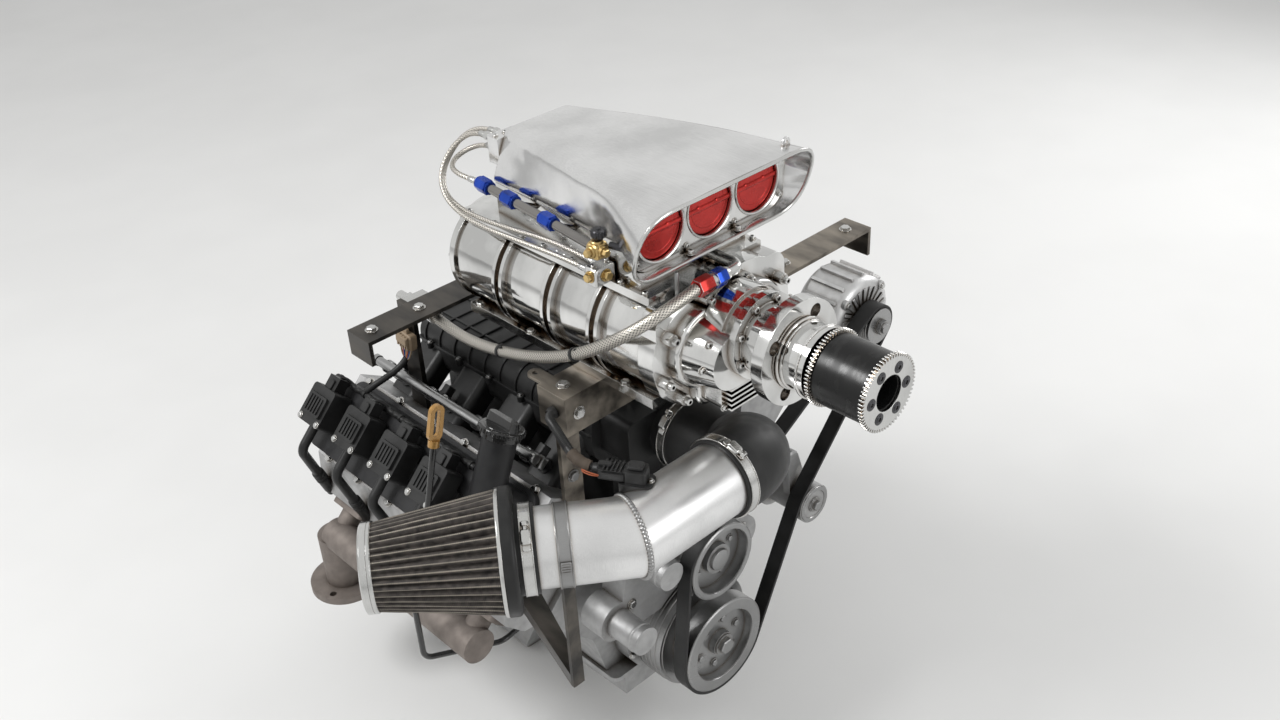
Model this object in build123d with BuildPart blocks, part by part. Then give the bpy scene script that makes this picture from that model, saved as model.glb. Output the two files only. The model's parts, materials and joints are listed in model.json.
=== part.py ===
"""Supercharged V8 engine with a front-drive blower, an air scoop and a cone-filter intake.

Millimetres. +Z is up, -Y is the front of the engine and +X its left side.
The origin is the crank centreline on the bellhousing face.
"Forward" distances are measured ahead of that face.
"""
import os
from math import asin, atan2, cos, hypot, pi, radians, sin, tan

from build123d import *

os.makedirs("parts", exist_ok=True)

# Driving sizes of the V8
BANK_SIN = sin(radians(45))
BLOCK_LENGTH = 500
DECK_HEIGHT = 235
BANK_HALF = 88
PAN_RAIL_Z = -65
PAN_HALF = 118
OIL_FILTER_PLACE = (150, -70)
BORE_PITCH = 112
FIRST_BORE = 88
PORTS = [FIRST_BORE + n * BORE_PITCH for n in range(4)]
TUNNEL_RADIUS = 30.3
CRANK_RADIUS = 30
HEAD_LENGTH = 470
HEAD_BACK = 20
HEAD_FRONT = HEAD_BACK + HEAD_LENGTH
HEAD_TOP = 345
COVER_HEIGHT = 50
COVER_ACROSS = -18
COVER_WIDTH = 118
COVER_LENGTH = 430
COIL_PLACES = [70, 164, 258, 352]
PLUG_PLACES = [33, 144, 256, 368]
COIL_DEPTH = 34
BOOT_RADIUS = 7.5
CAP_RADIUS = 33
FILLER_PLACE = (-246, -425, 304)
FILLER_LEAN = (0.39, 0, 0.92)
FILLER_HEIGHT = 98
SIDES = [("right", -1), ("left", 1)]

# Interfaces: bellhousing rectangle, crank flange circle, engine mount pads, exhaust flanges
BELL_SPAN_X = 350
BELL_SPAN_Z = 160
BELL_HOLE_RADIUS = 5.5
BELL_HOLE_DEPTH = 26
CRANK_FLANGE_RADIUS = 44
CRANK_FLANGE_PCD = 76
CRANK_HOLE_RADIUS = 5.5
CRANK_HOLE_DEPTH = 14
CRANK_DAMPER_RADIUS = 92
PAD_X = 158
PAD_FORWARDS = [(-1, 241), (1, 265)]
PAD_Z = -18
PAD_HOLES_Y = 70
PAD_HOLES_Z = 46
PAD_HOLE_RADIUS = 5
PAD_HOLE_DEPTH = 22
OUTLET_X = 306
OUTLET_FORWARD = 74
OUTLET_BOTTOM = -18
OUTLET_BORE = 25
OUTLET_PCD = 92
OUTLET_HOLE_RADIUS = 5.5
NECK_RADIUS = 22
NECK_FORWARD = 632
NECKS = [(-150, 108), (-94, 192)]
COVER_FACE = BLOCK_LENGTH + 30
PUMP_DEPTH = 44
BRACKET_FACE = HEAD_FRONT + 12

# Front drive: x, z and radius of each wheel, and which side of the belt it is on
CRANK_WHEEL = (0, 0, 80, 1)
TENSION_WHEEL = (204, 150, 32, -1)
ALTERNATOR_WHEEL = (346, 405, 28, 1)
ALTERNATOR_RADIUS = 66
ALTERNATOR_BACK = 526
ALTERNATOR_FRONT = 610
PUMP_WHEEL = (0, 165, 62, 1)
BELT_BACK = 616
BELT_WIDTH = 24
BELT_THICKNESS = 4.6
BELT_GAP = 0.4

# Blower and scoop
CASE_Z = 560
ROTOR_X = 44
CASE_RADIUS = 76
CASE_BACK = 245
CASE_FRONT = 623
CASE_TOP = 640
CASE_BOTTOM = 478
RIB_RADIUS = 85
RIBS = [347, 449, 540]
RIB_WIDTH = 6
RIB_GAP = 9
PLATE_THICKNESS = 27
GEAR_COVER_DEPTH = 62
PLATE_BOSSES = [(36, 624), (102, 596), (112, 536), (84, 500)]
FIN_COUNT = 7
FIN_PITCH = 7.4
BAR_TOP = CASE_BOTTOM
BAR_THICKNESS = 6
REAR_LEG_X = 152
SNOUT_Z = 580
SNOUT_END = 819
# Drive snout: distance forward and radius of each step
SNOUT_STEPS = [(712, 722, 58), (722, 760, 46), (760, 778, 70), (778, 811, 44), (811, SNOUT_END, 47)]
SNOUT_POCKETS = (54, 4, 9.5)
BLOWER_SHAFT_RADIUS = 14
PULLEY_BACK = 825
PULLEY_FRONT = 912
PULLEY_TIP_RADIUS = 50
PULLEY_TEETH = 44
HAT_BACK = 292
HAT_FRONT = 602
HAT_TOP = 690
SCOOP_WALL = 3
LIP_FORWARD = 660
LIP_Z = 728
LIP_LEAN = 17.7
LIP_WIDTH = 308
LIP_HEIGHT = 105
THROAT_FORWARD = 574
THROAT = [(-106, 690), (106, 690), (124, 779), (-124, 779)]
SCOOP_BACK = 310
REAR = [(-90, 690), (90, 690), (56, 762), (-56, 762)]
EAR_X = 114
EAR_Z = 773
EAR_RADIUS = 7
EAR_FORWARD = 652
DISC_RADIUS = 36.5
DISC_PITCH = 85
DISC_Z = 729
DISC_FORWARD = 626
DISC_GAP = 1
DISC_THICKNESS = 3
WEB_THICKNESS = 12
SHAFT_RADIUS = 4
SHAFT_REACH = 126

# Fuel hardware: stub places on the fuel block, rail ends, nut places and hose routes
STUBS = [(-60, 744), (-44, 744), (-52, 724)]
RAIL_START = (-100, -300, 696)
RAIL_END = (-119, -556, 692)
RAIL_RADIUS = 6.5
NUT_SHARES = [0.04, 0.27, 0.6]
TEE_Z = 700
FUEL_LINE_RADIUS = 3.5
FUEL_LINES = [
    [(-60, -276, 744), (-60, -246, 743), (-70, -220, 728), (-86, -204, 702), (-103, -208, 676),
     (-116, -236, 658), (-124, -282, 651), (-127, -332, 651), (-126, -382, 653), (-122, -434, 654),
     (-116, -486, 653), (-114, -534, 651)],
    [(-44, -276, 744), (-44, -246, 744), (-54, -216, 732), (-70, -198, 706), (-91, -198, 678),
     (-107, -222, 658), (-113, -264, 651), (-115, -312, 652), (-113, -362, 655), (-108, -416, 659),
     (-103, -472, 660), (-102, -534, 656)],
    [(-52, -276, 724), (-51.5, -253, 723), (-59, -230, 715), (-78, -221, 706), (-97, -230, 700),
     (-104, -253, 698), (-103, -277, 697.5), (-100, -300, 696)],
]
FEED_RADIUS = 8
FEED_ROUTE = [(-60, -664, 651), (-106, -663, 643), (-144, -638, 618), (-157, -590, 582),
              (-159, -540, 551), (-158, -486, 524), (-156, -428, 501), (-153, -366, 482),
              (-149, -303, 468), (-142, -246, 460), (-133, -192, 457)]
FEED_ELBOW_X = 19
FEED_ELBOW_RADIUS = 7.5
FEED_NUT_RADIUS = 12

# Air intake: pipe ends, bend and filter, all on one level
AIR_Z = 388
PIPE_RADIUS = 51
ELBOW_RADIUS = 56
PIPE_END = (-72, -704, AIR_Z)
PIPE_BEND = (-225, -704, AIR_Z)
STRAP_START = 76
STRAP_WIDTH = 17
FILTER_ANGLE = 143.2
FILTER_START = 141
FILTER_NECK = 24
FILTER_BASE_DEPTH = 16
FILTER_CAP_DEPTH = 8
PLEAT_DEPTHS = (7, 5)
FILTER_BASE_RADIUS = 80
FILTER_TIP_RADIUS = 56
FILTER_LENGTH = 184
CLAMP_WIDTH = 13
CLAMP_THICKNESS = 1.4
SENSOR_PLACE = (-188, -678)
SENSOR_PLUG = (-0.5, 0.87, 0)
PLEATS = 40
THROTTLE_X = 20
THROTTLE_Z = 345
THROTTLE_FRONT = 548


def front(distance):
    """Plane facing forward: local x is +X and local y is up."""
    return Plane.XZ.offset(distance)


def bank_point(side, along, across):
    """X and Z of a point on a bank: along its bores, and across them towards the exhaust."""
    return (side * BANK_SIN * (along + across), BANK_SIN * (along - across))


def bank_plane(side, along, across, forward):
    """Plane square to a bank's bores: local x runs forward and local z up the bores."""
    x, z = bank_point(side, along, across)
    return Plane(origin=(x, -forward, z), x_dir=(0, -1, 0), z_dir=(side * BANK_SIN, 0, BANK_SIN))


def mirrored(points):
    """Close a half outline, given from bottom to top on +X, with its mirror image."""
    return points + [(-x, z) for x, z in reversed(points)]


def wheel_path(wheels, near, far):
    """Belt outline round wheels taken anticlockwise: lines and arcs as (start, end, middle)."""
    radii = [r + (near if s > 0 else far) for _, _, r, s in wheels]
    leave = []
    arrive = []
    for n, (x, z, _, s) in enumerate(wheels):
        m = (n + 1) % len(wheels)
        nx, nz, _, ns = wheels[m]
        span = hypot(nx - x, nz - z)
        turn = atan2(nz - z, nx - x) - asin((ns * radii[m] - s * radii[n]) / span)
        normal = (-sin(turn), cos(turn))
        leave.append((x - s * radii[n] * normal[0], z - s * radii[n] * normal[1]))
        arrive.append((nx - ns * radii[m] * normal[0], nz - ns * radii[m] * normal[1]))
    pieces = []
    for n, (x, z, _, s) in enumerate(wheels):
        start = arrive[n - 1]
        end = leave[n]
        first = atan2(start[1] - z, start[0] - x)
        last = atan2(end[1] - z, end[0] - x)
        sweep_angle = (last - first) % (2 * pi) if s > 0 else -((first - last) % (2 * pi))
        mid = first + sweep_angle / 2
        middle = (x + radii[n] * cos(mid), z + radii[n] * sin(mid))
        pieces.append((start, middle, end, arrive[n]))
    return pieces


def hose_radii(points):
    """Radius at each corner of a hose route: 0.45 of its shorter run over tan(half the turn)."""
    radii = []
    for before, corner, after in zip(points, points[1:], points[2:]):
        run_in = Vector(*corner) - Vector(*before)
        run_out = Vector(*after) - Vector(*corner)
        half_turn = radians(run_in.get_angle(run_out)) / 2
        radii.append(0.45 * min(run_in.length, run_out.length) / tan(half_turn))
    return radii


# Engine block: V section, bellhousing flange, crank tunnel and engine mount pads
block_half = [
    (PAN_HALF, PAN_RAIL_Z),
    bank_point(1, 110, BANK_HALF),
    bank_point(1, DECK_HEIGHT, BANK_HALF),
    bank_point(1, DECK_HEIGHT, -BANK_HALF),
    bank_point(1, 150, -BANK_HALF),
]
bell_half = [(150, PAN_RAIL_Z), (150, -102), (200, -102), (200, 118), (118, 200)]
with BuildPart() as engine_block:
    for outline, depth in ((block_half, BLOCK_LENGTH), (bell_half, 16)):
        with BuildSketch(front(0)):
            with BuildLine():
                Polyline(*mirrored(outline), close=True)
            make_face()
        extrude(amount=depth)
    for pad_side, pad_forward in PAD_FORWARDS:
        pad = Plane(origin=(pad_side * PAD_X, -pad_forward, PAD_Z), x_dir=(0, 1, 0),
                    z_dir=(pad_side, 0, 0))
        with BuildSketch(pad):
            RectangleRounded(102, 76, 10)
        extrude(amount=-46)
        with BuildSketch(pad):
            with GridLocations(PAD_HOLES_Y, PAD_HOLES_Z, 2, 2):
                Circle(PAD_HOLE_RADIUS)
        extrude(amount=-PAD_HOLE_DEPTH, mode=Mode.SUBTRACT)
    with BuildSketch(front(0)):
        with GridLocations(BELL_SPAN_X, BELL_SPAN_Z, 2, 2):
            Circle(BELL_HOLE_RADIUS)
    extrude(amount=BELL_HOLE_DEPTH, mode=Mode.SUBTRACT)
    with BuildSketch(front(0)):
        Circle(TUNNEL_RADIUS)
    extrude(amount=BLOCK_LENGTH, mode=Mode.SUBTRACT)
    with BuildSketch(front(0)):
        Circle(CRANK_FLANGE_RADIUS + 6)
    extrude(amount=24, mode=Mode.SUBTRACT)
engine_block.part.label = "engine_block"
export_step(engine_block.part, "parts/engine_block.step")

# Oil pan: flat rail and a deep rear sump
pan_profile = [(-526, -73), (-526, -108), (-300, -118), (-262, -196), (-30, -196), (-6, -160), (-6, -73)]
with BuildPart() as oil_pan:
    with BuildSketch(Plane.YZ):
        with BuildLine():
            Polyline(*pan_profile, close=True)
        make_face()
    extrude(amount=104, both=True)
    fillet(oil_pan.edges().filter_by(Axis.Y).group_by(Axis.Z)[0], 22)
    with BuildSketch(Plane.XY.offset(PAN_RAIL_Z)):
        with Locations((0, -266)):
            RectangleRounded(248, 520, 12)
    extrude(amount=-8)
    with BuildSketch(Plane.XY.offset(PAN_RAIL_Z - 8)):
        with Locations(OIL_FILTER_PLACE):
            Circle(42)
    extrude(amount=-16)
oil_pan.part.label = "oil_pan"
export_step(oil_pan.part, "parts/oil_pan.step")

with BuildPart() as oil_filter:
    with BuildSketch(Plane.XY.offset(PAN_RAIL_Z - 24)):
        with Locations(OIL_FILTER_PLACE):
            Circle(38)
    extrude(amount=-96)
    fillet(oil_filter.edges().sort_by(Axis.Z)[0], 12)
oil_filter.part.label = "oil_filter"
export_step(oil_filter.part, "parts/oil_filter.step")

# Timing cover on the front of the block
with BuildPart() as timing_cover:
    with BuildSketch(front(BLOCK_LENGTH)):
        Circle(100)
        with Locations((0, 122)):
            Circle(74)
        make_hull()
        with Locations((0, PAN_RAIL_Z - 50)):
            Rectangle(260, 100, mode=Mode.SUBTRACT)
    extrude(amount=30)
    with BuildSketch(front(COVER_FACE)):
        Circle(52)
    extrude(amount=6)
    with BuildSketch(front(BLOCK_LENGTH)):
        Circle(TUNNEL_RADIUS)
    extrude(amount=40, mode=Mode.SUBTRACT)
timing_cover.part.label = "timing_cover"
export_step(timing_cover.part, "parts/timing_cover.step")

# Cylinder heads, valve covers, ignition coils with their plug boots, and exhaust manifolds
heads = {}
for side_name, side in SIDES:
    head_section = [
        bank_point(side, DECK_HEIGHT, -BANK_HALF),
        bank_point(side, DECK_HEIGHT, BANK_HALF),
        bank_point(side, 256, 104),
        bank_point(side, 300, 104),
        bank_point(side, HEAD_TOP, 52),
        bank_point(side, HEAD_TOP, -88),
        bank_point(side, 300, -100),
    ]
    with BuildPart() as cylinder_head:
        with BuildSketch(front(HEAD_BACK)):
            with BuildLine():
                Polyline(*head_section, close=True)
            make_face()
        extrude(amount=HEAD_LENGTH)
    cylinder_head.part.label = f"cylinder_head_{side_name}"
    export_step(cylinder_head.part, f"parts/cylinder_head_{side_name}.step")
    heads[side_name] = cylinder_head.part

    cover_base = bank_plane(side, HEAD_TOP, COVER_ACROSS, HEAD_BACK + HEAD_LENGTH / 2)
    with BuildPart() as valve_cover:
        with BuildSketch(cover_base):
            RectangleRounded(COVER_LENGTH + 16, COVER_WIDTH + 12, 20)
        extrude(amount=9)
        with BuildSketch(cover_base):
            RectangleRounded(COVER_LENGTH, COVER_WIDTH, 20)
        extrude(amount=COVER_HEIGHT, taper=5)
        if side_name == "right":
            with BuildSketch(Plane(origin=FILLER_PLACE, x_dir=(0, 1, 0), z_dir=FILLER_LEAN)):
                Circle(25)
            extrude(amount=FILLER_HEIGHT)
    valve_cover.part.label = f"valve_cover_{side_name}"
    export_step(valve_cover.part, f"parts/valve_cover_{side_name}.step")

    coil_base = bank_plane(side, HEAD_TOP + COVER_HEIGHT, COVER_ACROSS, 0)
    coil_tops = coil_base.offset(7 + COIL_DEPTH)
    with BuildPart() as coils:
        with BuildSketch(coil_base):
            with Locations(((COIL_PLACES[0] + COIL_PLACES[3]) / 2, 0)):
                Rectangle(350, 26)
        extrude(amount=7)
        with BuildSketch(coil_base.offset(7)):
            with Locations(*[(place, side * -6) for place in COIL_PLACES]):
                RectangleRounded(56, 62, 6)
        extrude(amount=COIL_DEPTH)
        with BuildSketch(coil_tops):
            with Locations(*[(place, side * -6) for place in COIL_PLACES]):
                RectangleRounded(44, 34, 4)
        extrude(amount=5)
        with BuildSketch(coil_base.offset(14)):
            with Locations(*[(place, side * -46) for place in COIL_PLACES]):
                Rectangle(26, 24)
        extrude(amount=20)
        for coil_place, plug_place in zip(COIL_PLACES, PLUG_PLACES):
            boot_points = []
            for along, across, forward in ((419, 4, coil_place), (419, 50, coil_place),
                                           (292, 103, plug_place)):
                x, z = bank_point(side, along, across)
                boot_points.append((x, -forward, z))
            with BuildLine() as boot_line:
                FilletPolyline(*boot_points, radius=18)
            with BuildSketch(Plane(boot_line.line @ 0, z_dir=boot_line.line % 0)):
                Circle(BOOT_RADIUS)
            sweep(path=boot_line.line)
        add(cylinder_head.part, mode=Mode.SUBTRACT)
    coils.part.label = f"ignition_coils_{side_name}"
    export_step(coils.part, f"parts/ignition_coils_{side_name}.step")

    port_x, port_z = bank_point(side, 278, 104)
    with BuildPart() as exhaust:
        for port in PORTS:
            port_plane = Plane(origin=(port_x, -port, port_z), x_dir=(0, 1, 0),
                               z_dir=(side * BANK_SIN, 0, -BANK_SIN))
            with BuildSketch(port_plane):
                RectangleRounded(78, 40, 10)
            extrude(amount=9)
            with BuildSketch(port_plane):
                Circle(18)
            extrude(amount=44)
        with BuildSketch(front(OUTLET_FORWARD)):
            with Locations(bank_point(side, 278, 156)):
                Circle(27)
        extrude(amount=PORTS[3] - OUTLET_FORWARD + 24)
        with BuildSketch(Plane.XY.offset(OUTLET_BOTTOM)):
            with Locations((side * OUTLET_X, -OUTLET_FORWARD)):
                Circle(31)
        extrude(amount=104)
        with BuildSketch(Plane.XY.offset(OUTLET_BOTTOM)):
            with Locations((side * OUTLET_X, -OUTLET_FORWARD)):
                Circle(58)
        extrude(amount=12)
        with BuildSketch(Plane.XY.offset(OUTLET_BOTTOM)):
            with Locations((side * OUTLET_X, -OUTLET_FORWARD)):
                Circle(OUTLET_BORE)
                with PolarLocations(OUTLET_PCD / 2, 3, start_angle=90):
                    Circle(OUTLET_HOLE_RADIUS)
        extrude(amount=30, mode=Mode.SUBTRACT)
    exhaust.part.label = f"exhaust_manifold_{side_name}"
    export_step(exhaust.part, f"parts/exhaust_manifold_{side_name}.step")

# Oil cap on the filler neck of the right cover: skirt, wider rim and a tapered grip bar
cap_base = Plane(origin=FILLER_PLACE, x_dir=(0, 1, 0), z_dir=FILLER_LEAN).offset(FILLER_HEIGHT)
with BuildPart() as oil_cap:
    with BuildSketch(cap_base):
        Circle(CAP_RADIUS - 4)
    extrude(amount=8)
    with BuildSketch(cap_base.offset(8)):
        Circle(CAP_RADIUS)
    extrude(amount=8)
    fillet(oil_cap.edges().sort_by(Axis(cap_base.origin, cap_base.z_dir))[-1], 3)
    with BuildSketch(cap_base.offset(16)):
        SlotOverall(2 * CAP_RADIUS - 4, 17)
    extrude(amount=13, taper=10)
oil_cap.part.label = "oil_cap"
export_step(oil_cap.part, "parts/oil_cap.step")

# Dipstick tube up the right side, its pull ring above the cover
DIPSTICK_ROUTE = [(-136, -372, -6), (-210, -362, -30), (-352, -366, 40), (-364, -388, 230),
                  (-318, -392, 318), (-294, -392, 408)]
with BuildPart() as dipstick:
    with BuildLine() as dipstick_line:
        FilletPolyline(*DIPSTICK_ROUTE, radius=30)
    with BuildSketch(Plane(dipstick_line.line @ 0, z_dir=dipstick_line.line % 0)):
        Circle(4.5)
    sweep()
dipstick.part.label = "dipstick_tube"
export_step(dipstick.part, "parts/dipstick_tube.step")

stick_end = Plane(dipstick_line.line @ 1, z_dir=dipstick_line.line % 1)
ring_centre = stick_end.offset(35).origin
stick_dir = stick_end.z_dir
with BuildPart() as dipstick_ring:
    with BuildSketch(stick_end):
        Circle(8)
    extrude(amount=10)
    with BuildSketch(Plane(origin=ring_centre, x_dir=stick_dir,
                           z_dir=Vector(0, 1, 0) - stick_dir * stick_dir.Y)):
        SlotOverall(54, 22)
        SlotOverall(40, 9, mode=Mode.SUBTRACT)
    extrude(amount=3.5, both=True)
dipstick_ring.part.label = "dipstick_ring"
export_step(dipstick_ring.part, "parts/dipstick_ring.step")

# Intake manifold: plenum, eight runners and the valley base, cut to the heads and block
with BuildPart() as intake_manifold:
    with BuildSketch(front(64)):
        with Locations((0, 343)):
            RectangleRounded(172, 92, 30)
    extrude(amount=408)
    with BuildSketch(front(70)):
        with Locations((0, 240)):
            Rectangle(96, 150)
    extrude(amount=396)
    for side_name, side in SIDES:
        for port in PORTS:
            with BuildSketch(Plane(origin=(side * 48, -port, 345), x_dir=(0, 1, 0),
                                   z_dir=(side * 0.78, 0, -0.62))):
                RectangleRounded(62, 44, 12)
            extrude(amount=135)
        add(heads[side_name], mode=Mode.SUBTRACT)
    add(engine_block.part, mode=Mode.SUBTRACT)
intake_manifold.part.label = "intake_manifold"
export_step(intake_manifold.part, "parts/intake_manifold.step")

# Throttle body and the rubber elbow that turns the air into it
with BuildPart() as throttle_body:
    with BuildSketch(front(472)):
        with Locations((THROTTLE_X, THROTTLE_Z)):
            RectangleRounded(112, 112, 14)
    extrude(amount=14)
    with BuildSketch(front(472)):
        with Locations((THROTTLE_X, THROTTLE_Z)):
            Circle(52)
        with Locations((THROTTLE_X - 58, THROTTLE_Z + 6)):
            RectangleRounded(64, 74, 12)
    extrude(amount=60)
    with BuildSketch(front(532)):
        with Locations((THROTTLE_X, THROTTLE_Z)):
            Circle(49)
    extrude(amount=THROTTLE_FRONT - 532)
throttle_body.part.label = "throttle_body"
export_step(throttle_body.part, "parts/throttle_body.step")

ELBOW_ROUTE = [PIPE_END, (THROTTLE_X, -704, AIR_Z), (THROTTLE_X, -640, THROTTLE_Z),
               (THROTTLE_X, -THROTTLE_FRONT, THROTTLE_Z)]
with BuildPart() as intake_elbow:
    with BuildLine() as elbow_line:
        FilletPolyline(*ELBOW_ROUTE, radius=(60, 58))
    with BuildSketch(Plane(elbow_line.line @ 0, z_dir=elbow_line.line % 0)):
        Circle(ELBOW_RADIUS)
    sweep()
intake_elbow.part.label = "intake_elbow"
export_step(intake_elbow.part, "parts/intake_elbow.step")

# Intake pipe: two straight lengths mitred and welded at the bend
filter_dir = Vector(cos(radians(FILTER_ANGLE)), sin(radians(FILTER_ANGLE)), 0)
filter_base = Vector(*PIPE_BEND) + filter_dir * FILTER_START
filter_plane = Plane(origin=filter_base, x_dir=(0, 0, 1), z_dir=filter_dir)
with BuildPart() as intake_pipe:
    with BuildLine() as pipe_line:
        Polyline(PIPE_END, PIPE_BEND, tuple(filter_base))
    with BuildSketch(Plane(pipe_line.line @ 0, z_dir=pipe_line.line % 0)):
        Circle(PIPE_RADIUS)
    sweep(transition=Transition.RIGHT)
intake_pipe.part.label = "intake_pipe"
export_step(intake_pipe.part, "parts/intake_pipe.step")


def star(outer, depth):
    """Pleated outline: tips on the outer radius and valleys a depth inside it."""
    step = pi / PLEATS
    radii = (outer, outer - depth)
    return [(radii[n % 2] * cos(n * step), radii[n % 2] * sin(n * step)) for n in range(2 * PLEATS)]


# Cone filter: rubber base, pleated cone and end cap
with BuildPart() as cone_filter:
    for place, radius, depth in (
            (FILTER_BASE_DEPTH, FILTER_BASE_RADIUS - 2, PLEAT_DEPTHS[0]),
            (FILTER_LENGTH - FILTER_CAP_DEPTH, FILTER_TIP_RADIUS - 2, PLEAT_DEPTHS[1])):
        with BuildSketch(filter_plane.offset(place)):
            with BuildLine():
                Polyline(*star(radius, depth), close=True)
            make_face()
    loft(ruled=True)
cone_filter.part.label = "filter_cone"
export_step(cone_filter.part, "parts/filter_cone.step")

with BuildPart() as filter_base_ring:
    with BuildSketch(filter_plane):
        Circle(FILTER_BASE_RADIUS)
    extrude(amount=FILTER_BASE_DEPTH)
    fillet(filter_base_ring.edges().sort_by(Axis(filter_base, filter_dir))[0], 6)
    with BuildSketch(filter_plane):
        Circle(PIPE_RADIUS + 5)
        Circle(PIPE_RADIUS, mode=Mode.SUBTRACT)
    extrude(amount=-FILTER_NECK)
filter_base_ring.part.label = "filter_base"
export_step(filter_base_ring.part, "parts/filter_base.step")

with BuildPart() as filter_cap:
    with BuildSketch(filter_plane.offset(FILTER_LENGTH - FILTER_CAP_DEPTH)):
        Circle(FILTER_TIP_RADIUS)
    extrude(amount=FILTER_CAP_DEPTH)
filter_cap.part.label = "filter_cap"
export_step(filter_cap.part, "parts/filter_cap.step")

# Clamps at the elbow's two ends and on the filter's neck, and the wider strap round the pipe
elbow_start = Plane(elbow_line.line @ 0, z_dir=elbow_line.line % 0)
elbow_end = Plane(elbow_line.line @ 1, z_dir=elbow_line.line % 1)
strap_plane = Plane(origin=Vector(*PIPE_BEND) + filter_dir * STRAP_START, x_dir=(0, 0, 1),
                    z_dir=filter_dir)
clamp_places = [
    (elbow_start.offset(4), ELBOW_RADIUS, CLAMP_WIDTH),
    (elbow_end.offset(-4 - CLAMP_WIDTH), ELBOW_RADIUS, CLAMP_WIDTH),
    (filter_plane.offset(-6 - CLAMP_WIDTH), PIPE_RADIUS + 5, CLAMP_WIDTH),
    (strap_plane, PIPE_RADIUS, STRAP_WIDTH),
]
with BuildPart() as hose_clamps:
    for clamp_plane, radius, width in clamp_places:
        with BuildSketch(clamp_plane):
            Circle(radius + CLAMP_THICKNESS)
            Circle(radius, mode=Mode.SUBTRACT)
        extrude(amount=width)
hose_clamps.part.label = "hose_clamps"
export_step(hose_clamps.part, "parts/hose_clamps.step")

# Pipe bracket: a flat post from under the strap to a foot bolted to the right head
foot_top = 170
post_centre = strap_plane.origin + filter_dir * (STRAP_WIDTH / 2)
with BuildPart() as pipe_bracket:
    with BuildSketch(Plane.XY.offset(foot_top - 20)):
        with Locations((post_centre.X, post_centre.Y)):
            Rectangle(18, 6)
    extrude(amount=AIR_Z - PIPE_RADIUS + 6 - foot_top + 20)
    with BuildSketch(Plane.XY.offset(foot_top - 20)):
        with BuildLine():
            Polyline((post_centre.X - 9, post_centre.Y - 3), (post_centre.X + 9, post_centre.Y - 3),
                     (-225, -HEAD_FRONT - 8), (-225, -HEAD_FRONT), (-255, -HEAD_FRONT),
                     (post_centre.X - 9, post_centre.Y + 3), close=True)
        make_face()
    extrude(amount=20)
    add(hose_clamps.part, mode=Mode.SUBTRACT)
    add(intake_pipe.part, mode=Mode.SUBTRACT)
pipe_bracket.part.label = "pipe_bracket"
export_step(pipe_bracket.part, "parts/pipe_bracket.step")

# Air sensor on a flange behind the pipe's top, with its plug turned back and out
sensor_top = AIR_Z + PIPE_RADIUS
with BuildPart() as pipe_sensor:
    for sketch_z, size, corner, height in ((AIR_Z, (44, 30), 8, PIPE_RADIUS + 2),
                                           (sensor_top, (28, 24), 4, 20)):
        with BuildSketch(Plane(origin=(*SENSOR_PLACE, sketch_z), x_dir=SENSOR_PLUG, z_dir=(0, 0, 1))):
            RectangleRounded(*size, corner)
        extrude(amount=height)
    with BuildSketch(Plane(origin=(*SENSOR_PLACE, sensor_top + 3), x_dir=SENSOR_PLUG, z_dir=(0, 0, 1))):
        with Locations((26, 0)):
            RectangleRounded(46, 20, 3)
    extrude(amount=15)
    add(intake_pipe.part, mode=Mode.SUBTRACT)
pipe_sensor.part.label = "pipe_sensor"
export_step(pipe_sensor.part, "parts/pipe_sensor.step")

# Water pump: body on the timing cover with two hose necks
pump_face = COVER_FACE + PUMP_DEPTH
with BuildPart() as water_pump:
    with BuildSketch(front(COVER_FACE)):
        with Locations((0, 165)):
            Circle(60)
        with Locations((-112, 108), (112, 108), NECKS[1]):
            Circle(32)
        make_hull()
        Circle(CRANK_DAMPER_RADIUS + 7, mode=Mode.SUBTRACT)
    extrude(amount=PUMP_DEPTH)
    with BuildSketch(front(pump_face)):
        with Locations((PUMP_WHEEL[0], PUMP_WHEEL[1])):
            Circle(30)
    extrude(amount=26)
    for neck_x, neck_z in NECKS:
        with BuildSketch(front(COVER_FACE)):
            with Locations((neck_x, neck_z)):
                Circle(32)
        extrude(amount=PUMP_DEPTH)
        with BuildSketch(front(COVER_FACE)):
            with Locations((neck_x, neck_z)):
                Circle(NECK_RADIUS)
        extrude(amount=NECK_FORWARD - COVER_FACE)
    with BuildSketch(front(pump_face)):
        with Locations((PUMP_WHEEL[0], PUMP_WHEEL[1])):
            Circle(10.3)
    extrude(amount=26, mode=Mode.SUBTRACT)
water_pump.part.label = "water_pump"
export_step(water_pump.part, "parts/water_pump.step")

# Alternator, its bracket and the belt tensioner
alternator_x, alternator_z = ALTERNATOR_WHEEL[:2]
with BuildPart() as alternator:
    with BuildSketch(front(ALTERNATOR_BACK)):
        with Locations((alternator_x, alternator_z)):
            Circle(ALTERNATOR_RADIUS)
    extrude(amount=ALTERNATOR_FRONT - ALTERNATOR_BACK)
    fillet(alternator.edges().filter_by(GeomType.CIRCLE), 14)
    with BuildSketch(front(ALTERNATOR_BACK + 12)):
        with Locations((alternator_x, alternator_z)):
            with PolarLocations(ALTERNATOR_RADIUS, 18):
                Rectangle(10, 5)
    extrude(amount=ALTERNATOR_FRONT - ALTERNATOR_BACK - 24)
    with BuildSketch(front(BRACKET_FACE)):
        with Locations((alternator_x - 62, alternator_z - 22), (alternator_x + 30, alternator_z - 62)):
            Circle(15)
    extrude(amount=56)
    with BuildSketch(front(ALTERNATOR_FRONT)):
        with Locations((alternator_x, alternator_z)):
            with PolarLocations(42, 12):
                RectangleRounded(20, 9, 4)
    extrude(amount=-6, mode=Mode.SUBTRACT)
    with BuildSketch(front(ALTERNATOR_FRONT)):
        with Locations((alternator_x, alternator_z)):
            Circle(8.3)
    extrude(amount=-50, mode=Mode.SUBTRACT)
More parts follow.
